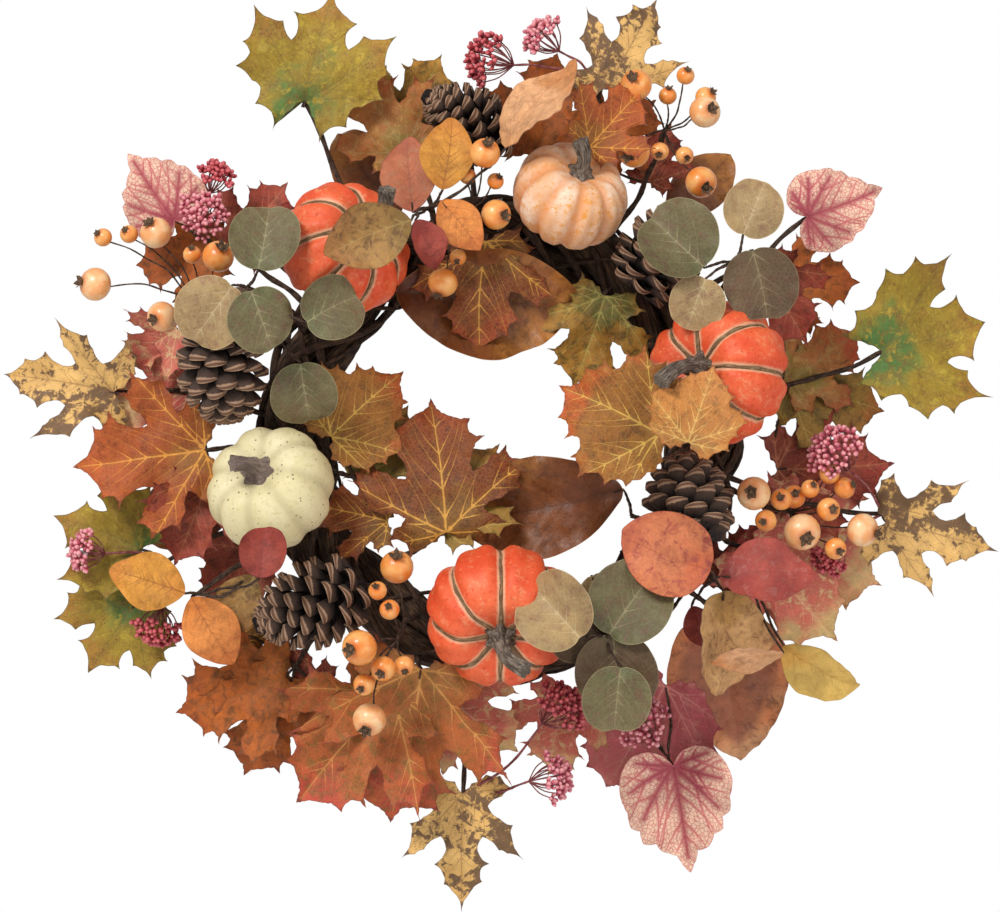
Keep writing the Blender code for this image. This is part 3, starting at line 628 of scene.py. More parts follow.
SHAPES["oval"] = SHAPES["ovate"]._replace(half=(
    (0.0, 0.0), (0.17, 0.04), (0.36, 0.18), (0.44, 0.42), (0.40, 0.66), (0.27, 0.86),
    (0.10, 0.98), (0.0, 1.0)))
SHAPES["spade"] = SHAPES["magnolia"]._replace(half=(
    (0.0, 0.0), (0.12, 0.02), (0.30, 0.14), (0.39, 0.32), (0.39, 0.46), (0.31, 0.66),
    (0.19, 0.84), (0.08, 0.97), (0.0, 1.06)))
LEAF_THICKNESS = 0.45       # mm
LEAF_STRETCH = 1.03         # makes up for the length that the bend takes
GRID = 2.3                  # mm between the points that fill a leaf


class Leaf(NamedTuple):
    shape: str
    look: str
    clock: float
    out: float
    lift: float
    heading: float
    size: float = 1.0
    tilt: float = 0.0       # of the tip towards the front, in degrees
    roll: float = 0.0
    bend: float = 0.35      # of the tip towards the back, in radians


def inside(points, outline):
    """Which points lie in the outline."""
    x, y = points[:, :1], points[:, 1:]
    a, b = outline, np.roll(outline, -1, 0)
    rising = (a[:, 1] > y) != (b[:, 1] > y)
    with np.errstate(divide="ignore", invalid="ignore"):
        crossing = (b[:, 0] - a[:, 0]) * (y - a[:, 1]) / (b[:, 1] - a[:, 1]) + a[:, 0]
    return (rising & (x < crossing)).sum(1) % 2 == 1


def segment_distance(points, starts, ends):
    """Distance of each point from each segment, and where along the segment it is nearest."""
    run = ends - starts
    length = np.maximum((run ** 2).sum(1), 1e-12)
    share = ((points[:, None] - starts) * run).sum(2) / length
    share = np.clip(share, 0, 1)
    gap = points[:, None] - starts - share[..., None] * run
    return np.sqrt((gap ** 2).sum(2)), share


def toothed_edge(start, end, shape, rng):
    """Points from start to before end, bowed inwards, with small teeth towards end."""
    run = end - start
    length = np.linalg.norm(run)
    inward = np.array((-run[1], run[0])) / max(length, 1e-9)
    count = max(2, round(length / 1.6))
    teeth = max(1, round(length / shape.teeth))
    made = []
    for step in range(count):
        t = step / count
        curve = math.sin(math.pi * t) * shape.bow * length
        saw = (t * teeth) % 1.0
        notch = saw if saw < 0.75 else (1 - saw) * 3
        small = shape.bite * (1 - notch) * math.sin(math.pi * min(t * 1.2, 1)) * rng.uniform(.6, 1.2)
        made.append(start + run * t + inward * (curve + small))
    return made


def leaf_outline(shape, length, rng):
    """The closed outline in mm, anticlockwise seen from the front, with its point at +Y."""
    half = np.array(shape.half)
    right = half * (1 + rng.uniform(-0.04, 0.04))
    left = half * (1 + rng.uniform(-0.04, 0.04))
    if not shape.smooth:
        right = right + rng.uniform(-0.014, 0.014, right.shape)
        left = left + rng.uniform(-0.014, 0.014, left.shape)
    right[0] = left[0] = half[0]
    right[-1] = left[-1] = half[-1]
    left = left * (-1, 1)
    corners = np.concatenate((right, left[1:-1][::-1])) * length
    if shape.smooth:
        steps = max(4, round(length / 9))
        up = smooth_curve(right * length, steps)
        down = smooth_curve(left[::-1] * length, steps)
        return np.concatenate((up[:-1], down[:-1]))
    made = []
    for index, corner in enumerate(corners):
        made += toothed_edge(corner, corners[(index + 1) % len(corners)], shape, rng)
    return np.array(made)


def leaf_veins(shape, length, outline, rng):
    """Polylines with half widths in mm: the main veins first, then the side veins."""
    tips = [np.array((0.0, 0.97))]
    for x, y in shape.lobes:
        tips += [np.array((x, y)), np.array((-x, y))]
    mains, sides = [], []
    for tip in tips:
        tip = tip * length * 0.96
        reach = np.linalg.norm(tip)
        count = max(4, round(reach / GRID))
        share = np.linspace(0, 1, count)[:, None]
        across_way = np.array((-tip[1], tip[0])) / reach
        wander = rng.uniform(-0.03, 0.03) * reach
        line = tip * share + across_way * np.sin(share * math.pi) * wander
        thick = (0.62 if tip[0] == 0 else 0.5) * length / 70
        mains.append((line, thick * (1 - 0.75 * share[:, 0]) + 0.08))
    for number, (line, _) in enumerate(mains):
        reach = np.linalg.norm(line[-1])
        whole = reach / length
        pairs = max(2, round(shape.pairs * whole))
        others = [other for index, (other, _) in enumerate(mains) if index != number]
        for pair in range(pairs):
            t = 0.10 + 0.80 * (pair + rng.uniform(0.05, 0.7)) / pairs
            base = line[int(t * (len(line) - 1))]
            ahead = unit(line[-1])
            for sign in (-1, 1):
                angle = math.radians(shape.spread + rng.uniform(-9, 9)) * sign
                way = np.array((ahead[0] * math.cos(angle) - ahead[1] * math.sin(angle),
                                ahead[0] * math.sin(angle) + ahead[1] * math.cos(angle)))
                trail = [base]
                for _ in range(30):
                    way = unit(way + ahead * 0.035)
                    point = trail[-1] + way * GRID * 0.8
                    if not inside(point[None] + way * 1.0, outline)[0]:
                        break
                    if any(np.linalg.norm(other - point, axis=1).min() < GRID for other in others):
                        break
                    trail.append(point)
                if len(trail) > 2:
                    trail = np.array(trail)
                    width = np.linspace(0.26, 0.10, len(trail)) * (length / 70) ** 0.5
                    sides.append((trail, width))
    return mains, sides


def vein_bridges(flat, triangles, fixed, edges):
    """Middles of the triangle sides that join two vein points but are no vein themselves."""
    key = {tuple(np.round(point, 3)): index for index, point in enumerate(fixed)}
    names = [key.get(tuple(np.round(point, 3)), -1) for point in flat]
    on_vein = set(index for edge in edges for index in edge)
    veins = set(tuple(sorted(edge)) for edge in edges)
    halves = {}
    for a, b, c in triangles:
        for first, second in ((a, b), (b, c), (c, a)):
            pair = tuple(sorted((names[first], names[second])))
            if pair[0] in on_vein and pair[1] in on_vein and pair not in veins:
                halves[pair] = (flat[first] + flat[second]) / 2
    return np.array(list(halves.values()))


def leaf_sheet(leaf, seed):
    """A bent, veined leaf: its points, faces and vertex data."""
    shape = SHAPES[leaf.shape]
    rng = np.random.default_rng(seed)
    length = shape.length * leaf.size * LEAF_STRETCH
    outline = leaf_outline(shape, length, rng)
    mains, sides = leaf_veins(shape, length, outline, rng)

    points = [tuple(point) for point in outline]
    edges = []
    for line, _ in mains + sides:
        kept = line[inside(line, outline)]
        start = len(points)
        points += [tuple(point) for point in kept]
        edges += [(start + i, start + i + 1) for i in range(len(kept) - 1)]
    fixed = np.array(points)
    low, high = outline.min(0), outline.max(0)
    rows = np.arange(low[1], high[1], GRID * 0.87)
    filling = []
    for index, y in enumerate(rows):
        x = np.arange(low[0] + (index % 2) * GRID / 2, high[0], GRID)
        filling.append(np.stack((x, np.full_like(x, y)), axis=1))
    filling = np.concatenate(filling) + rng.uniform(-0.2, 0.2, (sum(map(len, filling)), 2))
    filling = filling[inside(filling, outline)]
    near = np.sqrt(((filling[:, None] - fixed) ** 2).sum(2)).min(1)
    filling = filling[near > GRID * 0.55]
    everything = np.concatenate((fixed, filling))
    border = [list(range(len(outline)))]
    for _ in range(3):
        found = delaunay_2d_cdt([Vector(p) for p in everything], edges, border, 1, 1e-5)
        flat = np.array([tuple(p) for p in found[0]])
        triangles = [tuple(face) for face in found[2]]
        halves = vein_bridges(flat, triangles, fixed, edges)
        if not len(halves):
            break
        everything = np.concatenate((everything, halves))

    edge = segment_distance(flat, outline, np.roll(outline, -1, 0))[0].min(1)
    vein = np.full(len(flat), 1e3)
    main = np.full(len(flat), 1e3)
    for order, (line, width) in enumerate(mains + sides):
        gap, share = segment_distance(flat, line[:-1], line[1:])
        nearest = gap.argmin(1)
        rows = np.arange(len(flat))
        share = share[rows, nearest]
        local = width[:-1][nearest] * (1 - share) + width[1:][nearest] * share
        gap = gap[rows, nearest]
        vein = np.minimum(vein, gap / local)
        if order < len(mains):
            main = np.minimum(main, gap)
    any_vein = np.minimum(vein * 0.3, 6.0)

    x, y = flat[:, 0], flat[:, 1]
    along = y / length
    swell = np.minimum(any_vein, 2.2) / 2.2
    border = np.exp(-edge / 5.0)
    wave = np.array([noise.noise((px * 0.045, py * 0.045, seed * 3.1)) for px, py in flat])
    ripple = np.array([noise.noise((px * 0.16, py * 0.16, seed * 5.7)) for px, py in flat])
    fold = rng.uniform(0.03, 0.24)
    cup = rng.uniform(-0.5, 0.7)
    z = fold * np.abs(x) + cup * x ** 2 / length
    z += (swell - 1) * shape.pillow * 0.45
    z += wave * (3.5 + 5.5 * border) * length / 78
    z += ripple * (0.5 + 1.6 * border)
    curve = leaf.bend + rng.uniform(-0.15, 0.2)
    curve = curve if abs(curve) > 0.02 else 0.02
    y_bent = np.sin(curve * along) / curve * length + z * np.sin(curve * along)
    z_bent = -(1 - np.cos(curve * along)) / curve * length + z * np.cos(curve * along)
    z_bent -= z_bent[np.hypot(x, y).argmin()]

    half = LEAF_THICKNESS / 2
    local = np.stack((x, y_bent, z_bent), axis=1)
    tilt = leaf.tilt + rng.uniform(-7, 7)
    roll = leaf.roll + rng.uniform(-9, 9)
    turned = rolling_frame(leaf.heading, tilt, roll)
    base = place(leaf.clock, leaf.out, leaf.lift)
    top = base + (local + (0, 0, half)) @ turned.T * MM
    bottom = base + (local - (0, 0, half)) @ turned.T * MM
    count = len(flat)
    faces = triangles + [(c + count, b + count, a + count) for a, b, c in triangles]
    seen = {}
    for a, b, c in triangles:
        for pair in ((a, b), (b, c), (c, a)):
            seen[pair] = True
    faces += [(b, a, a + count, b + count) for a, b in seen if (b, a) not in seen]
    at = np.stack((x, y, np.full(count, seed * 37.7)), axis=1)
    reach = np.hypot(x, y) / length
    mark = np.stack((vein, main, edge), axis=1)
    tone = np.stack((along, reach, np.zeros(count)), axis=1)
    under = tone + (0, 0, 1)
    return (np.concatenate((top, bottom)), faces,
            {"at": np.concatenate((at, at)), "mark": np.concatenate((mark, mark)),
             "tone": np.concatenate((tone, under))}, turned, base)


# ---------------------------------------------------------------- stems

def stem_route(start, end, bow, seed):
    """A gently bowed way from start to end, with a slight wander."""
    rng = random.Random(seed)
    run = end - start
    side = unit(np.cross(run, FRONT + 0.01))
    reach = np.linalg.norm(run)
    points = []
    for step in range(6):
        t = step / 5
        wander = rng.uniform(-0.02, 0.02) * reach * math.sin(math.pi * t)
        points.append(start + run * t + side * (math.sin(math.pi * t) * bow * reach + wander)
                      + FRONT * wander)
    return smooth_curve(points, 4)


def knobbed(seed, rough=0.12):
    def shape(turns, shares):
        ridges = 1 + rough * np.sin(3 * turns + shares * 9 + seed)
        return ridges * (1 + rough * np.sin(shares * 31 + seed * 2))
    return shape


def vine_section(index, angle):
    turn = VINE_TWISTS * angle + 2 * math.pi * index / VINE_COUNT
    return np.array((VINE_OFFSET * math.cos(turn), VINE_OFFSET * math.sin(turn)))


def root_of(clock, target):
    """Where a stem towards target starts, on the nearest vine."""
    angle = math.radians(clock)
    flat = math.hypot(target[0], target[2] - CENTRE_Z)
    aim = np.array((flat - RING_RADIUS, -target[1]))
    centres = [vine_section(index, angle) for index in range(VINE_COUNT)]
    centre = min(centres, key=lambda each: np.linalg.norm(aim - each))
    away = unit(aim - centre)
    return across(angle, *(centre + away * VINE_RADIUS * 0.8))


# ---------------------------------------------------------------- berries and seed heads

def add_berry(piece, centre, diameter, pole, look, seed):
    rng = random.Random(seed)
    radius = diameter / 2
    points, faces, heights = globe(centre, radius, pole, squash=rng.uniform(0.92, 1.0),
                                   dimple=0.05)
    local = (points - centre) / MM + seed * 11.3
    tone = np.stack((heights, heights * 0, heights * 0), axis=1)
    piece.add(points, faces, look, at=local, tone=tone)
    pole = unit(np.array(pole, float))
    side = unit(np.cross(pole, (0.2, 0.5, 0.84)))
    other = np.cross(pole, side)
    rim = max(0.0012, radius * 0.28)
    tip = rim * 1.7
    top = centre + pole * radius * 0.90
    for petal in range(5):
        turn = 2 * math.pi * petal / 5 + rng.uniform(-0.2, 0.2)
        out = side * math.cos(turn) + other * math.sin(turn)
        flank = np.cross(pole, out) * rim * 0.62
        low = top + out * rim * 0.55
        high = top + out * tip * rng.uniform(0.8, 1.15) + pole * rim * rng.uniform(0.7, 1.3)
        middle = (low + high) / 2 + pole * rim * 0.05
        inner = -out * 0.00025 + pole * 0.00025
        sepal = [low - flank, low + flank, middle + flank * 0.9, high, middle - flank * 0.9]
        sepal += [corner + inner for corner in sepal]
        shell = [(0, 1, 2, 3, 4), (9, 8, 7, 6, 5)]
        shell += [(i, i + 5, (i + 1) % 5 + 5, (i + 1) % 5) for i in range(5)]
        piece.add(np.array(sepal), shell, "calyx", at=np.array(sepal) / MM)
    core, core_faces, _ = globe(top, rim * 0.75, pole, 8, 6, 0.8)
    piece.add(core, core_faces, "calyx", at=core / MM)


def add_seed_head(piece, centre, diameter, hub, look, seed):
    """An umbel: a short stem that forks to many small buds inside a dome."""
    rng = random.Random(seed)
    radius = diameter / 2
    way = unit(centre - hub + FRONT * 0.006)
    side = unit(np.cross(way, (0.3, 0.7, 0.5)))
    other = np.cross(way, side)
    foot = centre - way * radius * 0.9
    stalks = max(8, round(12 * (diameter / 0.028) ** 1.2))
    for stalk in range(stalks):
        turn = stalk * GOLDEN_ANGLE
        wide = math.sqrt((stalk + 0.5) / stalks)
        flat = side * math.cos(turn) + other * math.sin(turn)
        end = centre + flat * radius * wide * 0.72 + way * radius * (0.35 - 0.55 * wide ** 2)
        middle = foot + (end - foot) * 0.5 + flat * radius * 0.12
        add_bar(piece, "red_petiole", smooth_curve((foot, middle, end), 3), 0.00042, 5, seed=seed)
        for bud in range(6):
            spin = bud * GOLDEN_ANGLE + stalk
            near = side * math.cos(spin) + other * math.sin(spin)
            lean = unit(near * (0.25 + 0.16 * bud) + way * 0.6 + flat * 0.3)
            place_at = end + lean * radius * rng.uniform(0.16, 0.30)
            size = 0.0014 * rng.uniform(0.8, 1.25)
            points, faces, heights = globe(place_at, size, lean, 7, 5, 1.55)
            tone = np.stack((heights, heights * 0, heights * 0), axis=1)
            piece.add(points, faces, look, at=points / MM, tone=tone)
            add_bar(piece, "red_petiole", (end, place_at), 0.00025, 4)


# ---------------------------------------------------------------- picks

HUB_BACK = 0.0035           # of the stems' meeting place behind the leaves that it carries


class Ball(NamedTuple):
    look: str
    clock: float
    out: float
    lift: float
    diameter: float


PICKS = {
    "green_maple_leaf_top": (321, (330, 112, 0), [
        Leaf("green", "green", 330, 112, 0, 14, 1.0)], []),
    "green_maple_leaf_right": (79, (77, 112, 2), [
        Leaf("green", "green", 77, 112, 2, 74, 1.05)], []),
    "green_maple_leaves_lower_left": (250, (250, 92, -22), [
        Leaf("green", "green", 253, 104, -22, 292, .84),
        Leaf("green", "green", 246, 118, -26, 215, .8)], [
        Ball("bud_pink", 255, 136, -6, 30), Ball("bud_red", 241, 112, -8, 34)]),
    "spotted_leaf_top": (13, (16, 99, -14), [
        Leaf("spotted", "spotted", 17, 99, -14, 29, 1.0)], [
        Ball("bud_pink", 6, 121, -4, 32), Ball("bud_red", 358, 106, 4, 40)]),
    "spotted_leaf_left": (276, (277, 112, -14), [
        Leaf("spotted", "spotted", 277, 112, -14, 280, 1.05)], []),
    "spotted_leaf_bottom": (184, (186, 91, -8), [
        Leaf("spotted", "spotted", 186, 91, -8, 181, 1.1)], [
        Ball("bud_red", 167, 40, 26, 40), Ball("bud_pink", 171, 82, 4, 36)]),
    "spotted_leaf_right": (99, (101, 112, -10), [
        Leaf("spotted", "spotted", 102, 115, -10, 105, 1.05)], [
        Ball("bud_pink", 92, 76, 22, 42), Ball("bud_red", 110, 86, 8, 28)]),
    "grape_leaf_upper_left": (304, (304, 100, -14), [
        Leaf("grape", "grape", 304, 114, -14, 326, .95)], [
        Ball("bud_red", 313, 110, -4, 28), Ball("bud_pink", 307, 100, 6, 36)]),
    "grape_leaf_upper_right": (52, (54, 104, -10), [
        Leaf("grape", "grape", 54, 106, -10, 70, .95)], []),
    "grape_leaf_lower_right": (152, (152, 92, -6), [
        Leaf("grape", "grape", 152, 99, -2, 171, 1.2, 5),
        Leaf("broad", "berry_red", 146, 56, -22, 208, .95, -4),
        Leaf("maple", "blush", 165, 34, -22, 194, .7)], [
        Ball("bud_pink", 153, 68, 14, 38)]),
    "eucalyptus_upper_right": (57, (53, 50, 60), [
        Leaf("round", "disc_green", 50, 33, 66, 315, .95),
        Leaf("round", "disc_khaki", 50, 63, 58, 22, .75),
        Leaf("round", "disc_brown", 53, 62, 60, 167, .9),
        Leaf("round", "disc_khaki", 52, 30, 64, 200, .7)], []),
    "eucalyptus_left": (299, (301, 50, 62), [
        Leaf("round", "disc_green", 305, 49, 72, 9, .85),
        Leaf("round", "disc_khaki", 300, 58, 60, 218, .9),
        Leaf("round", "disc_green", 301, 46, 76, 160, .8),
        Leaf("round", "disc_brown", 301, 42, 48, 218, .75),
        Leaf("round", "disc_green", 301, 9, 72, 62, .75),
        Leaf("round", "disc_green", 291, 3, 44, 172, .8)], []),
    "eucalyptus_bottom": (150, (152, 8, 64), [
        Leaf("round", "disc_khaki", 158, 2, 80, 316, .95),
        Leaf("round", "disc_green", 151, 8, 66, 34, 1.0),
        Leaf("round", "disc_brown", 150, 9, 62, 176, 1.0),
        Leaf("round", "disc_green", 152, 27, 72, 186, .81),
        Leaf("round", "disc_brown", 161, -17, 58, 144, .67),
        Leaf("round", "disc_khaki", 146, -27, 62, 157, .53, 0, 20)], []),
    "magnolia_leaves_top_left": (336, (336, 26, -38), [
        Leaf("magnolia", "magnolia", 336, 27, -38, 323, .7)], []),
    "magnolia_leaf_inner_top": (327, (325, -14, 6), [
        Leaf("magnolia", "magnolia", 325, -14, 2, 98, 1.18)], []),
    "magnolia_leaf_top_right": (37, (37, 47, -40), [
        Leaf("magnolia", "magnolia", 37, 47, -40, 46, .6)], []),
    "magnolia_leaf_inner_bottom": (120, (120, -32, 4), [
        Leaf("magnolia", "magnolia", 112, -43, 5, 259, 1.05)], []),
    "magnolia_leaf_lower_right": (128, (128, 43, -30), [
        Leaf("spade", "magnolia_coral", 128, 43, -30, 169, .98)], []),
    "magnolia_leaf_left": (259, (259, 38, -38), [
        Leaf("magnolia", "magnolia", 259, 38, -38, 248, .8)], []),
    "ovate_leaves_top": (342, (343, 20, 40), [
        Leaf("ovate", "honey", 347, 28, 44, 7, 1.0),
        Leaf("ovate", "brick", 339, 21, 38, 353, 1.05),
        Leaf("ovate", "tangerine", 346, 22, 48, 140, .85),
        Leaf("ovate", "bronze", 338, 14, 84, 248, 1.22, -4, 0),
        Leaf("ovate", "cherry", 339, 15, 56, 152, .71, 0, 20),
        Leaf("ovate", "peach", 1, 49, 44, 32, 1.5, 0, 58)], []),
    "ovate_leaves_lower_left": (243, (243, 80, 14), [
        Leaf("ovate", "honey", 244, 86, 16, 288, 1.1),
        Leaf("ovate", "tangerine", 243, 84, 12, 149, 1.1),
        Leaf("oval", "cherry", 240, 38, 80, 5, .70),
        Leaf("ovate", "bronze", 241, 45, 6, 212, .95)], []),
    "ovate_leaves_lower_right": (122, (123, 28, 56), [
        Leaf("oval", "coral", 122, 22, 66, 291, 1.22),
        Leaf("ovate", "rose", 122, 29, 54, 84, 1.3, 0, 32),
        Leaf("oval", "tan", 124, 36, 50, 176, 1.42, 0, 50),
        Leaf("ovate", "cherry", 131, 28, 22, 158, .6)], []),
    "berry_spray_upper_left": (295, (294, 76, 22), [], [
        Ball("berry_pale", 301, 116, 22, 19), Ball("berry_orange", 299, 130, 16, 11),
        Ball("berry_orange", 297, 143, 14, 11), Ball("berry_pale", 291, 135, 22, 20),
        Ball("berry_orange", 301, 90, 30, 11), Ball("berry_orange", 303, 76, 34, 19),
        Ball("berry_pale", 290, 90, 34, 18)]),
    "berry_spray_top": (352, (352, 14, 32), [], [
        Ball("berry_orange", 357, 46, 46, 18), Ball("berry_orange", 353, 34, 36, 10),
        Ball("berry_orange", 359, 30, 34, 10), Ball("berry_orange", 359, 10, 38, 18),
        Ball("berry_orange", 340, -24, 30, 18), Ball("berry_orange", 347, -12, 30, 10)]),
    "berry_spray_upper_right": (28, (28, 88, -2), [], [
        Ball("berry_orange", 21, 104, 12, 19), Ball("berry_orange", 27, 122, 4, 11),
        Ball("berry_orange", 26, 107, -2, 11), Ball("berry_orange", 31, 116, 8, 13),
        Ball("berry_pale", 32, 108, 12, 19), Ball("berry_orange", 25, 66, 20, 19),
        Ball("berry_orange", 29, 74, 12, 11), Ball("berry_orange", 33, 80, 6, 11),
        Ball("berry_orange", 38, 72, 14, 19)]),
    "berry_spray_right": (101, (104, 56, 18), [], [
        Ball("berry_pale", 102, 30, 44, 20), Ball("berry_orange", 102, 47, 38, 13),
        Ball("berry_orange", 107, 41, 42, 13), Ball("berry_orange", 99, 63, 34, 11),
        Ball("berry_orange", 102, 76, 32, 14), Ball("berry_pale", 107, 64, 36, 22),
        Ball("berry_pale", 104, 99, 26, 20), Ball("berry_orange", 108, 86, 33, 13),
        Ball("berry_orange", 101, 55, 26, 14), Ball("berry_orange", 96, 74, 24, 12),
        Ball("berry_orange", 98, 84, 22, 13)]),
    "berry_spray_lower_left": (205, (207, 10, 44), [], [
        Ball("berry_orange", 219, -26, 36, 20), Ball("berry_orange", 219, -9, 58, 11),
        Ball("berry_orange", 213, -4, 56, 12), Ball("berry_orange", 214, 24, 62, 21),
        Ball("berry_orange", 207, 28, 54, 15), Ball("berry_orange", 209, 42, 48, 13),
        Ball("berry_orange", 203, 22, 44, 12), Ball("berry_pale", 205, 60, 34, 20)]),
    "maple_leaves_left": (267, (268, 54, 2), [
        Leaf("maple", "rust", 268, 54, 2, 263, 1.0),
        Leaf("maple", "blush", 279, 66, -20, 258, .75, -4),
        Leaf("maple", "blush", 289, 83, -12, 240, .5),
        Leaf("maple", "wine", 262, 54, -6, 201, .7),
        Leaf("broad", "wine", 246, 42, -34, 223, .55)], []),
    "maple_leaves_inner_left": (262, (256, -32, 4), [
        Leaf("broad", "amber", 271, -22, 10, 48, .75),
        Leaf("maple", "olive", 253, -42, -2, 25, .65),
        Leaf("maple", "ember", 234, -40, 5, 283, .6)], []),
    "maple_leaves_inner_front": (225, (214, -54, 16), [
        Leaf("maple", "ember", 210, -59, 20, 352, 1.05),
        Leaf("maple", "olive", 216, -60, 14, 35, .8)], []),
    "maple_leaves_inner_right": (90, (90, -34, 60), [
        Leaf("broad", "amber", 88, -30, 69, 296, .84),
        Leaf("broad", "golden", 91, -14, 86, 18, .62)], []),
    "maple_leaf_inner_top": (356, (356, -4, 14), [
        Leaf("maple", "ember", 356, -4, 14, 184, .86)], []),
    "maple_leaf_inner_upper_right": (36, (36, -16, 3), [
        Leaf("maple", "moss", 36, -16, 3, 198, .75)], []),
    "maple_leaves_right": (82, (82, 50, -18), [
        Leaf("maple", "autumn", 79, 54, -16, 53, .7),
        Leaf("maple", "olive", 79, 54, -20, 105, .8),
        Leaf("maple", "orange", 60, 70, -26, 90, .65),
        Leaf("maple", "wine", 96, 46, -24, 86, .9),
        Leaf("maple", "wine", 57, 66, 10, 151, .66)], []),
    "maple_leaves_lower_right": (113, (114, 40, -20), [
        Leaf("maple", "blush", 113, 42, -18, 137, 1.0),
        Leaf("maple", "blush", 107, 44, -26, 119, 1.1),
        Leaf("maple", "wine", 124, 38, -30, 36, .6),
        Leaf("ovate", "lemon", 126, 88, -8, 125, 1.2, 0, -38),
        Leaf("ovate", "peach", 127, 85, 60, 257, .95, 0, 56)], []),
    "maple_leaves_lower_left": (222, (222, 62, -18), [
        Leaf("maple", "orange", 222, 70, -16, 253, .9),
        Leaf("maple", "orange", 221, 68, -20, 206, .9),
        Leaf("maple", "wine", 214, 60, -24, 263, .65),
        Leaf("maple", "ember", 233, 72, -30, 54, .5)], []),
    "maple_leaves_bottom_left": (200, (200, 20, 6), [
        Leaf("maple", "sunset", 199, 22, 10, 192, 1.25),
        Leaf("maple", "sunset", 203, 42, 2, 221, 1.1),
        Leaf("maple", "blush", 193, 34, -4, 128, .75)], []),
    "maple_leaves_top_right": (15, (15, 58, -30), [
        Leaf("maple", "orange", 18, 62, -28, 49, .7),
        Leaf("maple", "orange", 8, 54, -24, 10, .8),
        Leaf("maple", "wine", 30, 58, -32, 20, .5),
        Leaf("maple", "rust", 17, 59, 26, 42, .62)], []),
    "maple_leaves_top_left": (307, (308, 66, -30), [
        Leaf("maple", "orange", 304, 84, -30, 262, .7),
        Leaf("maple", "wine", 306, 72, -26, 34, .65)], []),
    "maple_leaf_top": (343, (342, 70, -24), [
        Leaf("maple", "moss", 342, 72, -24, 28, .7),
        Leaf("maple", "autumn", 342, 60, -8, 325, .75)], []),
}


def slot_of(name):
    """The slot name for the stems, berries and seed heads of a pick, by the start of its name."""
    for start, slot in (("berry", "berry"), ("eucalyptus", "eucalyptus"), ("magnolia", "magnolia"),
                        ("green_maple", "green_maple"), ("spotted", "spotted"), ("grape", "grape"),
                        ("ovate", "ovate")):
        if name.startswith(start):
            return slot
    return "maple"


def build_leaf(name, leaf, seed, node):
    points, faces, data, turned, base = leaf_sheet(leaf, seed)
    piece = Piece()
    piece.add(points, faces, leaf.look, **data)
    piece.make(name, LOOKS[leaf.look].slot, *([node] if node else []))
    return turned, base


SHORTEST_STEM = 0.004       # m; a pick's parts closer than this need no stem between them


def build_pick(name, root, hub, leaves, balls, seed, node=None):
    start = root_of(root, place(*hub))
    centre = place(*hub) - FRONT * HUB_BACK
    stems = Piece()
    far = np.linalg.norm(centre - start)
    if far > SHORTEST_STEM:
        add_bar(stems, "petiole", stem_route(start, centre, 0.06, seed),
                np.linspace(0.0018, 0.0014, 21), 8, shape=knobbed(seed), seed=seed)
    for number, leaf in enumerate(leaves):
        label = f"{name}_leaf_{number + 1}" if len(leaves) > 1 else f"{name}_blade"
        turned, base = build_leaf(label, leaf, seed * 10 + number, node)
        under = base - turned[:, 2] * 0.0006
        onto = under + turned[:, 1] * 0.006 - turned[:, 2] * 0.0008
        if np.linalg.norm(base - centre) > SHORTEST_STEM:
            route = list(stem_route(centre, under, 0.05, seed + number)) + [onto]
        else:
            route = [under - turned[:, 1] * 0.004, under, onto]
        add_bar(stems, "petiole", route, np.linspace(0.0011, 0.0007, len(route)), 7,
                shape=knobbed(seed + number), seed=number)
    for number, ball in enumerate(balls):
        middle = place(ball.clock, ball.out, ball.lift)
        diameter = ball.diameter * MM
        key = seed * 31 + number
        if ball.look.startswith("berry"):
            way = unit(middle - centre)
            pole = way + FRONT * random.Random(key).uniform(0.2, 2.0)
            add_bar(stems, "petiole", stem_route(centre, middle - way * diameter * 0.4, 0.10, key),
                    np.linspace(0.00065, 0.00045, 21), 6, shape=knobbed(key), seed=key)
            add_berry(stems, middle, diameter, pole, ball.look, key)
        else:
            foot = middle - unit(middle - centre + FRONT * 0.006) * diameter * 0.45
            add_bar(stems, "red_petiole", stem_route(centre, foot, 0.08, key),
                    np.linspace(0.0010, 0.0007, 21), 6, shape=knobbed(key), seed=key)
            add_seed_head(stems, middle, diameter, centre, ball.look, key)
    if stems.count:
        stems.make(name + "_stems", slot_of(name), *([node] if node else []), crease=60)


# ---------------------------------------------------------------- pumpkins

class Pumpkin(NamedTuple):
    clock: float
    out: float
    width: float
    lean: float
    tilt: float
    stem: float
    skin: str
    stem_look: str
    ribs: int
    depth: float            # of the grooves, as a share of the radius
    narrow: float           # width of a groove, as a share of a rib
    spin: float = 0.0


PUMPKINS = {
    "pumpkin_upper_left": Pumpkin(321, 23, .082, 60, 50, .038, "pumpkin_red", "pumpkin_stem",
                                  8, .13, .30),
    "pumpkin_top": Pumpkin(16, 28, .072, 25, 40, .020, "pumpkin_peach", "pumpkin_stem",
                           10, .12, .42, .2),
    "pumpkin_right": Pumpkin(73, 12, .088, 282, 55, .036, "pumpkin_red", "pumpkin_stem",
                             8, .13, .30, .4),
    "pumpkin_left": Pumpkin(258, 16, .080, 325, 55, .020, "pumpkin_cream", "cream_stem",
                            8, .11, .50, .1),
    "pumpkin_bottom": Pumpkin(180, -19, .090, 178, 60, .036, "pumpkin_red", "pumpkin_stem",
                              8, .13, .30, .3),
}
PUMPKIN_HEIGHT = 0.76
SEAT_STEPS = 8


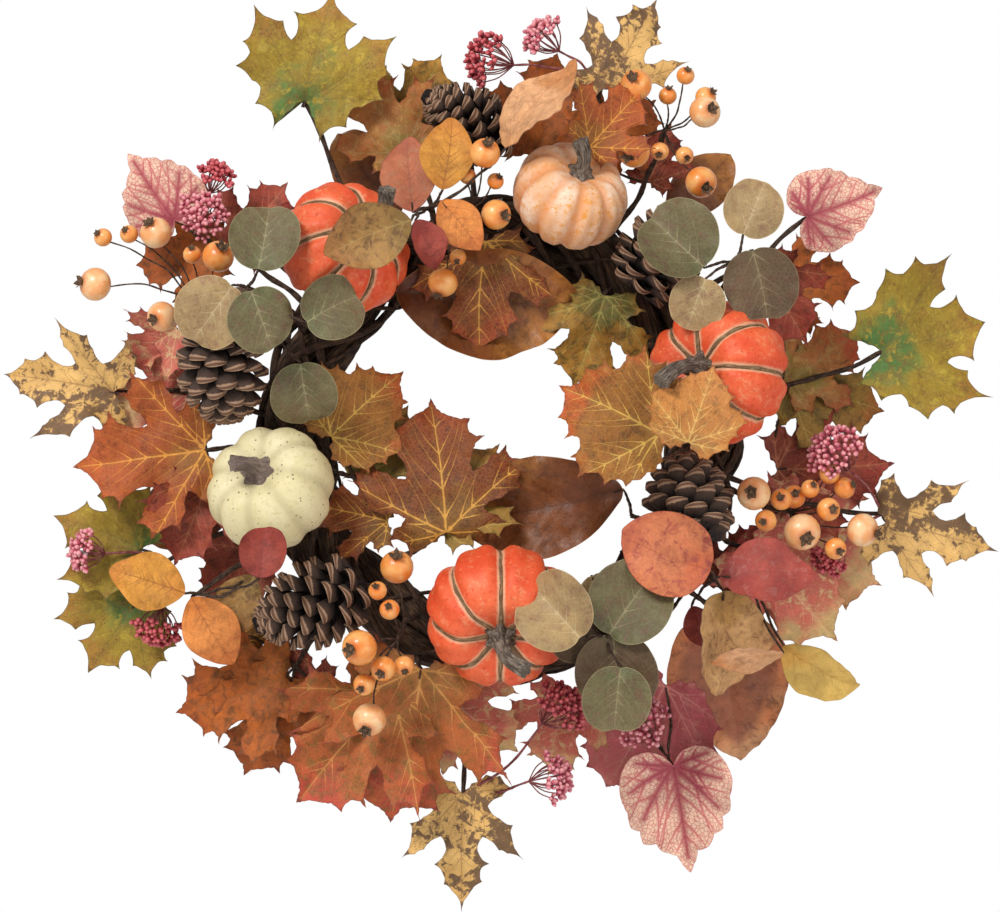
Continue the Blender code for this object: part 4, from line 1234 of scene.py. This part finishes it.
def resting_forward(out, axis, clock, half_width, half_height):
    outward = heading_vector(clock)
    forward = BUNDLE_RADIUS + half_width
    for _ in range(SEAT_STEPS):
        towards = -unit(outward * out + FRONT * forward)
        lean = axis.dot(towards)
        reach = math.sqrt(half_width ** 2 * (1 - lean ** 2) + (half_height * lean) ** 2)
        forward = math.sqrt((BUNDLE_RADIUS + reach + SEAT_GAP) ** 2 - out ** 2)
    return forward


def pumpkin_point(p, axis, side, other, turn, fall):
    """A point of the skin, from its centre, and the distance in mm from the nearest groove."""
    half = p.width / 2
    rib = 2 * math.pi / p.ribs
    phase = ((turn / rib + 0.5) % 1.0) - 0.5
    groove = math.exp(-(phase / (p.narrow * 0.5)) ** 2)
    round_rib = 1 - 0.05 * (abs(phase) * 2) ** 2
    width = math.sin(fall) ** 0.86
    height = math.cos(fall)
    dip = 0.34 * math.exp(-(fall / 0.42) ** 2) + 0.26 * math.exp(-((math.pi - fall) / 0.45) ** 2)
    height = (abs(height) ** 0.95) * (1 if height > 0 else -1)
    height = height * (1 - dip) * PUMPKIN_HEIGHT
    reach = width * round_rib * (1 - p.depth * groove * min(1.0, math.sin(fall) * 1.6))
    height += -0.04 * groove * math.sin(fall) * np.sign(height)
    flat = side * math.cos(turn) + other * math.sin(turn)
    gap = abs(phase) * rib * max(width, 0.02) * half / MM
    return (flat * reach + axis * height) * half, gap


def build_pumpkin(name, p):
    axis = heading_vector(p.lean, p.tilt)
    side = unit(np.cross(axis, (0.0, 0.0, 1.0)))
    other = np.cross(axis, side)
    half = p.width / 2
    forward = resting_forward(p.out * MM, axis, p.clock, half, half * PUMPKIN_HEIGHT)
    centre = across(math.radians(p.clock), p.out * MM, forward)
    columns, rows = p.ribs * 14, 44
    points, at, mark = [], [], []
    seed = len(name) * 3.7 + p.clock
    for row in range(rows + 1):
        fall = 0.03 + (math.pi - 0.06) * row / rows
        for column in range(columns):
            turn = 2 * math.pi * column / columns
            arm, gap = pumpkin_point(p, axis, side, other, turn + p.spin, fall)
            bumpy = noise.noise(Vector(arm / MM) * 0.06 + Vector((seed, 0, 0)))
            fine = noise.noise(Vector(arm / MM) * 0.3 + Vector((seed, 9, 0)))
            arm = arm * (1 + bumpy * 0.02 + fine * 0.004)
            points.append(centre + arm)
            at.append(arm / MM + seed)
            mark.append((gap, math.cos(fall), 0))
    faces = []
    for row in range(rows):
        for column in range(columns):
            following = (column + 1) % columns
            a, b = row * columns, (row + 1) * columns
            faces.append((a + column, b + column, b + following, a + following))
    faces.append(tuple(range(columns)))
    faces.append(tuple(range(rows * columns, (rows + 1) * columns))[::-1])
    body = Piece()
    body.add(np.array(points), faces, p.skin, at=np.array(at), mark=np.array(mark))
    if p.skin == "pumpkin_red":
        for rib in range(p.ribs):
            turn = 2 * math.pi * (rib / p.ribs)
            line = []
            for step in range(26):
                fall = 0.10 + 2.5 * step / 25
                arm, _ = pumpkin_point(p, axis, side, other, turn, fall)
                sway = math.sin(step * 0.9 + rib * 2) * 0.0004
                out = unit(arm)
                line.append(centre + arm + out * 0.0003 + np.cross(out, axis) * sway)
            taper = np.linspace(0.0013, 0.0004, len(line))
            add_bar(body, "strand", line, taper, 6, shape=knobbed(rib, 0.2), seed=rib)
    start = root_of(p.clock, centre)
    add_bar(body, "petiole", (start, start + (centre - start) * 0.5, centre), 0.003, 8)
    body.make(name + "_skin", p.skin, name)

    foot = centre + axis * half * PUMPKIN_HEIGHT * 0.60
    bend = unit(np.cross(FRONT, axis)) * 0.35
    length = p.stem + half * PUMPKIN_HEIGHT * 0.10
    steps = 22
    line = [foot + (axis * (i / (steps - 1)) + bend * (i / (steps - 1)) ** 3) * length
            for i in range(steps)]
    wide = 2.1 if p.stem_look == "cream_stem" else 1.15
    flare = [0.0052 * (0.70 + wide * math.exp(-(i / 4.2) ** 2) + 0.22 * (i / (steps - 1)) ** 3)
             for i in range(steps)]

    def ridged(turns, shares):
        deep = 0.16 + 0.14 * np.exp(-(shares / 0.15) ** 2)
        return 1 + deep * np.cos(6 * turns + shares * 1.5) + 0.03 * np.sin(11 * turns + shares * 30)

    stem = Piece()
    add_bar(stem, p.stem_look, line, flare, 36, shape=ridged, seed=seed)
    stem.make(name + "_stalk", "pumpkin_stem", name + "_stem", crease=60)


# ---------------------------------------------------------------- pine cones

class Cone(NamedTuple):
    clock: float
    out: float
    lift: float
    length: float
    radius: float
    lean: float
    tilt: float


CONES = {
    "pine_cone_top": Cone(354, 70, 4, .066, .022, 300, 15),
    "pine_cone_upper_right": Cone(41, 28, 20, .066, .026, 40, 10),
    "pine_cone_left": Cone(283, 46, 26, .060, .027, 172, -18),
    "pine_cone_lower_left": Cone(229, 28, 27, .074, .027, 250, 8),
    "pine_cone_lower_right": Cone(108, -6, 32, .060, .027, 352, -24),
}
SCALE_COUNT = 78
SCALE_ACROSS = 8
SCALE_ALONG = 8


def cone_scale(base, along, side, up, length, width, seed):
    """A closed woody scale that widens, thickens and curls to a rounded end."""
    rng = random.Random(seed)
    curl = rng.uniform(0.25, 0.45)
    top, low, tone = [], [], []
    for j in range(SCALE_ALONG + 1):
        v = j / SCALE_ALONG
        broad = 0.30 + 0.70 * math.sin(min(1.0, v * 1.15) * math.pi / 2)
        thick = 0.0006 + 0.0009 * max(0.0, min(1.0, (v - 0.55) / 0.35))
        for i in range(SCALE_ACROSS + 1):
            u = 2 * i / SCALE_ACROSS - 1
            ahead = v * length - 0.30 * width * u ** 2 * (1 + abs(u)) * v ** 2
            rise = curl * v ** 2 * length + 0.10 * width * u ** 2 * v
            point = base + along * ahead + side * (u * broad * width / 2) + up * rise
            pad = thick * (1.05 - 0.9 * u ** 2)
            top.append(point + up * pad)
            low.append(point - up * pad)
            tone.append((v, u, 0))
    across_count = SCALE_ACROSS + 1
    count = len(top)
    faces = []
    for j in range(SCALE_ALONG):
        for i in range(SCALE_ACROSS):
            a = j * across_count + i
            b = a + across_count
            faces.append((a, a + 1, b + 1, b))
            faces.append((a + count, b + count, b + 1 + count, a + 1 + count))
    border = [(i, i + 1) for i in range(SCALE_ACROSS)]
    last = SCALE_ALONG * across_count
    border += [(last + i + 1, last + i) for i in range(SCALE_ACROSS)]
    for j in range(SCALE_ALONG):
        border.append(((j + 1) * across_count, j * across_count))
        border.append((j * across_count + SCALE_ACROSS, (j + 1) * across_count + SCALE_ACROSS))
    faces += [(b, a, a + count, b + count) for a, b in border]
    under = [(v, u, 1) for v, u, _ in tone]
    return np.array(top + low), faces, np.array(tone + under)


def build_cone(name, cone):
    axis = heading_vector(cone.lean, cone.tilt)
    centre = place(cone.clock, cone.out, cone.lift)
    side = unit(np.cross(axis, (0.1, 0.3, 0.9)))
    other = np.cross(axis, side)
    piece = Piece()
    heights = np.linspace(-0.5, 0.46, 12)
    core = [centre + axis * h * cone.length for h in heights]
    thick = [cone.radius * 0.42 * math.sqrt(max(0.05, 1 - (2 * h) ** 2)) for h in heights]
    add_bar(piece, "cone_core", core, np.array(thick), 10)
    for index in range(SCALE_COUNT):
        t = (index + 0.5) / SCALE_COUNT
        turn = index * GOLDEN_ANGLE
        height = (-0.47 + 0.90 * t ** 0.92) * cone.length
        profile = math.sin(math.pi * min(0.97, 0.16 + 0.80 * t)) ** 0.62
        reach = cone.radius * profile * (1.0 - 0.10 * t)
        rise = math.radians(-14 + 82 * t ** 1.25)
        out = side * math.cos(turn) + other * math.sin(turn)
        along = out * math.cos(rise) + axis * math.sin(rise)
        up = axis * math.cos(rise) - out * math.sin(rise)
        flank = np.cross(axis, out)
        base = centre + axis * (height - 0.10 * cone.length * t) + out * reach * 0.22
        length = reach * 0.82 + 0.002
        width = (0.0150 - 0.0065 * t) * cone.radius / 0.026
        points, faces, tone = cone_scale(base, along, flank, up, length, width, index)
        local = (points - base) @ np.stack((flank, along, up), axis=1) / MM + index * 7.1
        piece.add(points, faces, "cone", at=local, tone=tone)
    start = root_of(cone.clock, centre)
    add_bar(piece, "petiole", (start, start + (centre - start) * 0.5, centre), 0.0018, 8)
    piece.make(name + "_scales", "pine_cone", name, crease=70)


# ---------------------------------------------------------------- ring and hanger

def build_ring():
    """Three stout barked vines and thinner canes wound round them."""
    steps = 300
    angles = np.arange(steps) * 2 * math.pi / steps
    for index in range(VINE_COUNT):
        sections = [vine_section(index, angle) for angle in angles]
        points = np.array([across(a, *s) for a, s in zip(angles, sections)])
        outward = np.array([across(a, s[0] * 2, s[1] * 2) for a, s in zip(angles, sections)])

        def bark(turns, shares, index=index):
            furrow = 0.045 * np.sin(7 * turns + 5 * np.sin(shares * 44 + index))
            lumps = 0.05 * np.sin(shares * 2 * math.pi * 9 + index * 2 + 2 * turns)
            knots = 0.05 * np.sin(shares * 2 * math.pi * 23 + 3 * turns + index)
            return 0.93 + furrow + lumps * 0.6 + knots * 0.5

        piece = Piece()
        add_bar(piece, "vine", points, VINE_RADIUS, 28, reference=outward - points, cyclic=True,
                shape=bark, seed=index)
        piece.make(f"vine_{index + 1}_bark", "bark", f"vine_{index + 1}", crease=80)
    canes = Piece()
    for cane in range(11):
        rng = random.Random(cane * 7 + 1)
        twists = rng.choice((-5, -4, 4, 5, 6))
        phase = rng.uniform(0, 2 * math.pi)
        begin = rng.uniform(0, 2 * math.pi)
        span = rng.uniform(3.6, 6.0)
        radius = rng.uniform(0.0012, 0.0028)
        line = []
        for step in range(150):
            share = step / 149
            angle = begin + span * share
            turn = phase + twists * angle
            loose = BUNDLE_RADIUS + radius * 0.2 + 0.0014 * math.sin(angle * 13 + cane)
            back = loose * math.sin(turn)
            line.append(across(angle, loose * math.cos(turn), max(back, -BUNDLE_RADIUS)))
        taper = radius * (1 - 0.6 * np.linspace(0, 1, 150) ** 3)
        add_bar(canes, "twig", line, taper, 8, shape=knobbed(cane, 0.1), seed=cane)
    canes.make("ring_canes", "bark", crease=80)


BAND_RADIUS = 0.023033
BAND_WIRE_RADIUS = 0.0009
EYE_RADIUS = 0.0034
EYE_WIRE_RADIUS = 0.0007
HINGE_FORWARD = -0.025833
LOOP_WIRE_RADIUS = 0.0010
LOOP_WIDTH = 0.034
LOOP_LENGTH = 0.046


def build_hanger():
    """The wire band with its eye at the ring's back, and the loop that turns in the eye."""
    turns = np.arange(72) * 2 * math.pi / 72
    band = Piece()
    for shift in (-1, 1):
        ring = [across(0, BAND_RADIUS * math.cos(t), BAND_RADIUS * math.sin(t))
                + np.array((shift * BAND_WIRE_RADIUS * 0.9, 0, 0)) for t in turns]
        middle = across(0, 0, 0)
        add_bar(band, "wire", ring, BAND_WIRE_RADIUS, 10, cyclic=True,
                reference=np.array(ring) - middle)
    eye = [across(0, EYE_RADIUS * math.cos(t), HINGE_FORWARD + EYE_RADIUS * math.sin(t))
           for t in turns[::3]]
    add_bar(band, "wire", eye, EYE_WIRE_RADIUS, 8, cyclic=True,
            reference=np.array(eye) - across(0, 0, HINGE_FORWARD))
    band.make("hanger_band_wire", "wire", "hanger_band")

    hinge = across(0, 0, HINGE_FORWARD)
    corner = LOOP_WIDTH / 2
    bow = LOOP_LENGTH - corner
    shape = [(x, 0.0) for x in np.linspace(-corner * 0.82, corner * 0.82, 13)]
    shape += [(corner * 0.95, -corner * 0.06), (corner, -corner * 0.22)]
    shape += [(corner, z) for z in np.linspace(-corner * 0.35, -bow, 8)]
    shape += [(corner * math.cos(a), -bow - corner * math.sin(a))
              for a in np.linspace(0.15, math.pi - 0.15, 17)]
    shape += [(-corner, z) for z in np.linspace(-bow, -corner * 0.35, 8)]
    shape += [(-corner, -corner * 0.22), (-corner * 0.95, -corner * 0.06)]
    line = [hinge + np.array((x, 0.0, z)) for x, z in shape]
    loop = Piece()
    middle = hinge + np.array((0, 0, -LOOP_LENGTH / 2))
    add_bar(loop, "wire", line, LOOP_WIRE_RADIUS, 10, cyclic=True,
            reference=np.array(line) - middle + np.array((0, 0.004, 0)))
    loop.make("hanging_loop_wire", "wire", "hanging_loop", body="loop")


# ---------------------------------------------------------------- stage

def build_stage():
    scene = bpy.context.scene
    scene.view_settings.view_transform = "Standard"
    mesh = bpy.data.meshes.new("floor")
    mesh.from_pydata([(-1.6, -1.4, -0.56), (1.6, -1.4, -0.56), (1.6, 1.2, -0.56),
                      (-1.6, 1.2, -0.56)], [], [(0, 1, 2, 3)])
    floor = bpy.data.objects.new("floor", mesh)
    scene.collection.objects.link(floor)
    g = Graph("floor", 0.9, 0.1)
    g.shader.inputs["Base Color"].default_value = (0.9, 0.9, 0.9, 1)
    mesh.materials.append(g.material)

    world = bpy.data.worlds.new("studio")
    scene.world = world
    world.use_nodes = True
    nodes, links = world.node_tree.nodes, world.node_tree.links
    glow = nodes["Background"]
    glow.inputs["Color"].default_value = (1, 1, 1, 1)
    glow.inputs["Strength"].default_value = 0.50
    seen = nodes.new("ShaderNodeBackground")
    seen.inputs["Color"].default_value = (1, 1, 1, 1)
    seen.inputs["Strength"].default_value = 1.0
    path = nodes.new("ShaderNodeLightPath")
    blend = nodes.new("ShaderNodeMixShader")
    links.new(path.outputs["Is Camera Ray"], blend.inputs[0])
    links.new(glow.outputs[0], blend.inputs[1])
    links.new(seen.outputs[0], blend.inputs[2])
    links.new(blend.outputs[0], nodes["World Output"].inputs["Surface"])

    for name, at, size, power in (("key", (-1.3, -2.2, 1.7), 0.9, 62),
                                  ("fill", (1.8, -2.0, 0.3), 1.8, 16)):
        lamp = bpy.data.lights.new(name, "AREA")
        lamp.size = size
        lamp.energy = power
        light = bpy.data.objects.new(name, lamp)
        light.location = at
        aim = Vector((0, 0, CENTRE_Z)) - light.location
        light.rotation_euler = aim.to_track_quat("-Z", "Y").to_euler()
        scene.collection.objects.link(light)

    data = bpy.data.cameras.new("camera")
    data.lens = VIEW_DISTANCE * data.sensor_width / VIEW_WIDTH
    camera = bpy.data.objects.new("camera", data)
    camera.location = (0, VIEW_PLANE - VIEW_DISTANCE, VIEW_CENTRE_Z)
    camera.rotation_euler = (math.pi / 2, 0, 0)
    scene.collection.objects.link(camera)
    scene.camera = camera


VIEW_DISTANCE = 2.4
VIEW_WIDTH = 0.596          # of the frame, at the plane the view is measured in
VIEW_PLANE = -0.040
VIEW_CENTRE_Z = -0.111

build_stage()
build_ring()
build_hanger()
for pumpkin_name, pumpkin in PUMPKINS.items():
    build_pumpkin(pumpkin_name, pumpkin)
for cone_name, cone in CONES.items():
    build_cone(cone_name, cone)
for pick_seed, (pick_name, (root, hub, leaves, balls)) in enumerate(PICKS.items()):
    build_pick(pick_name, root, hub, leaves, balls, pick_seed + 1, pick_name)
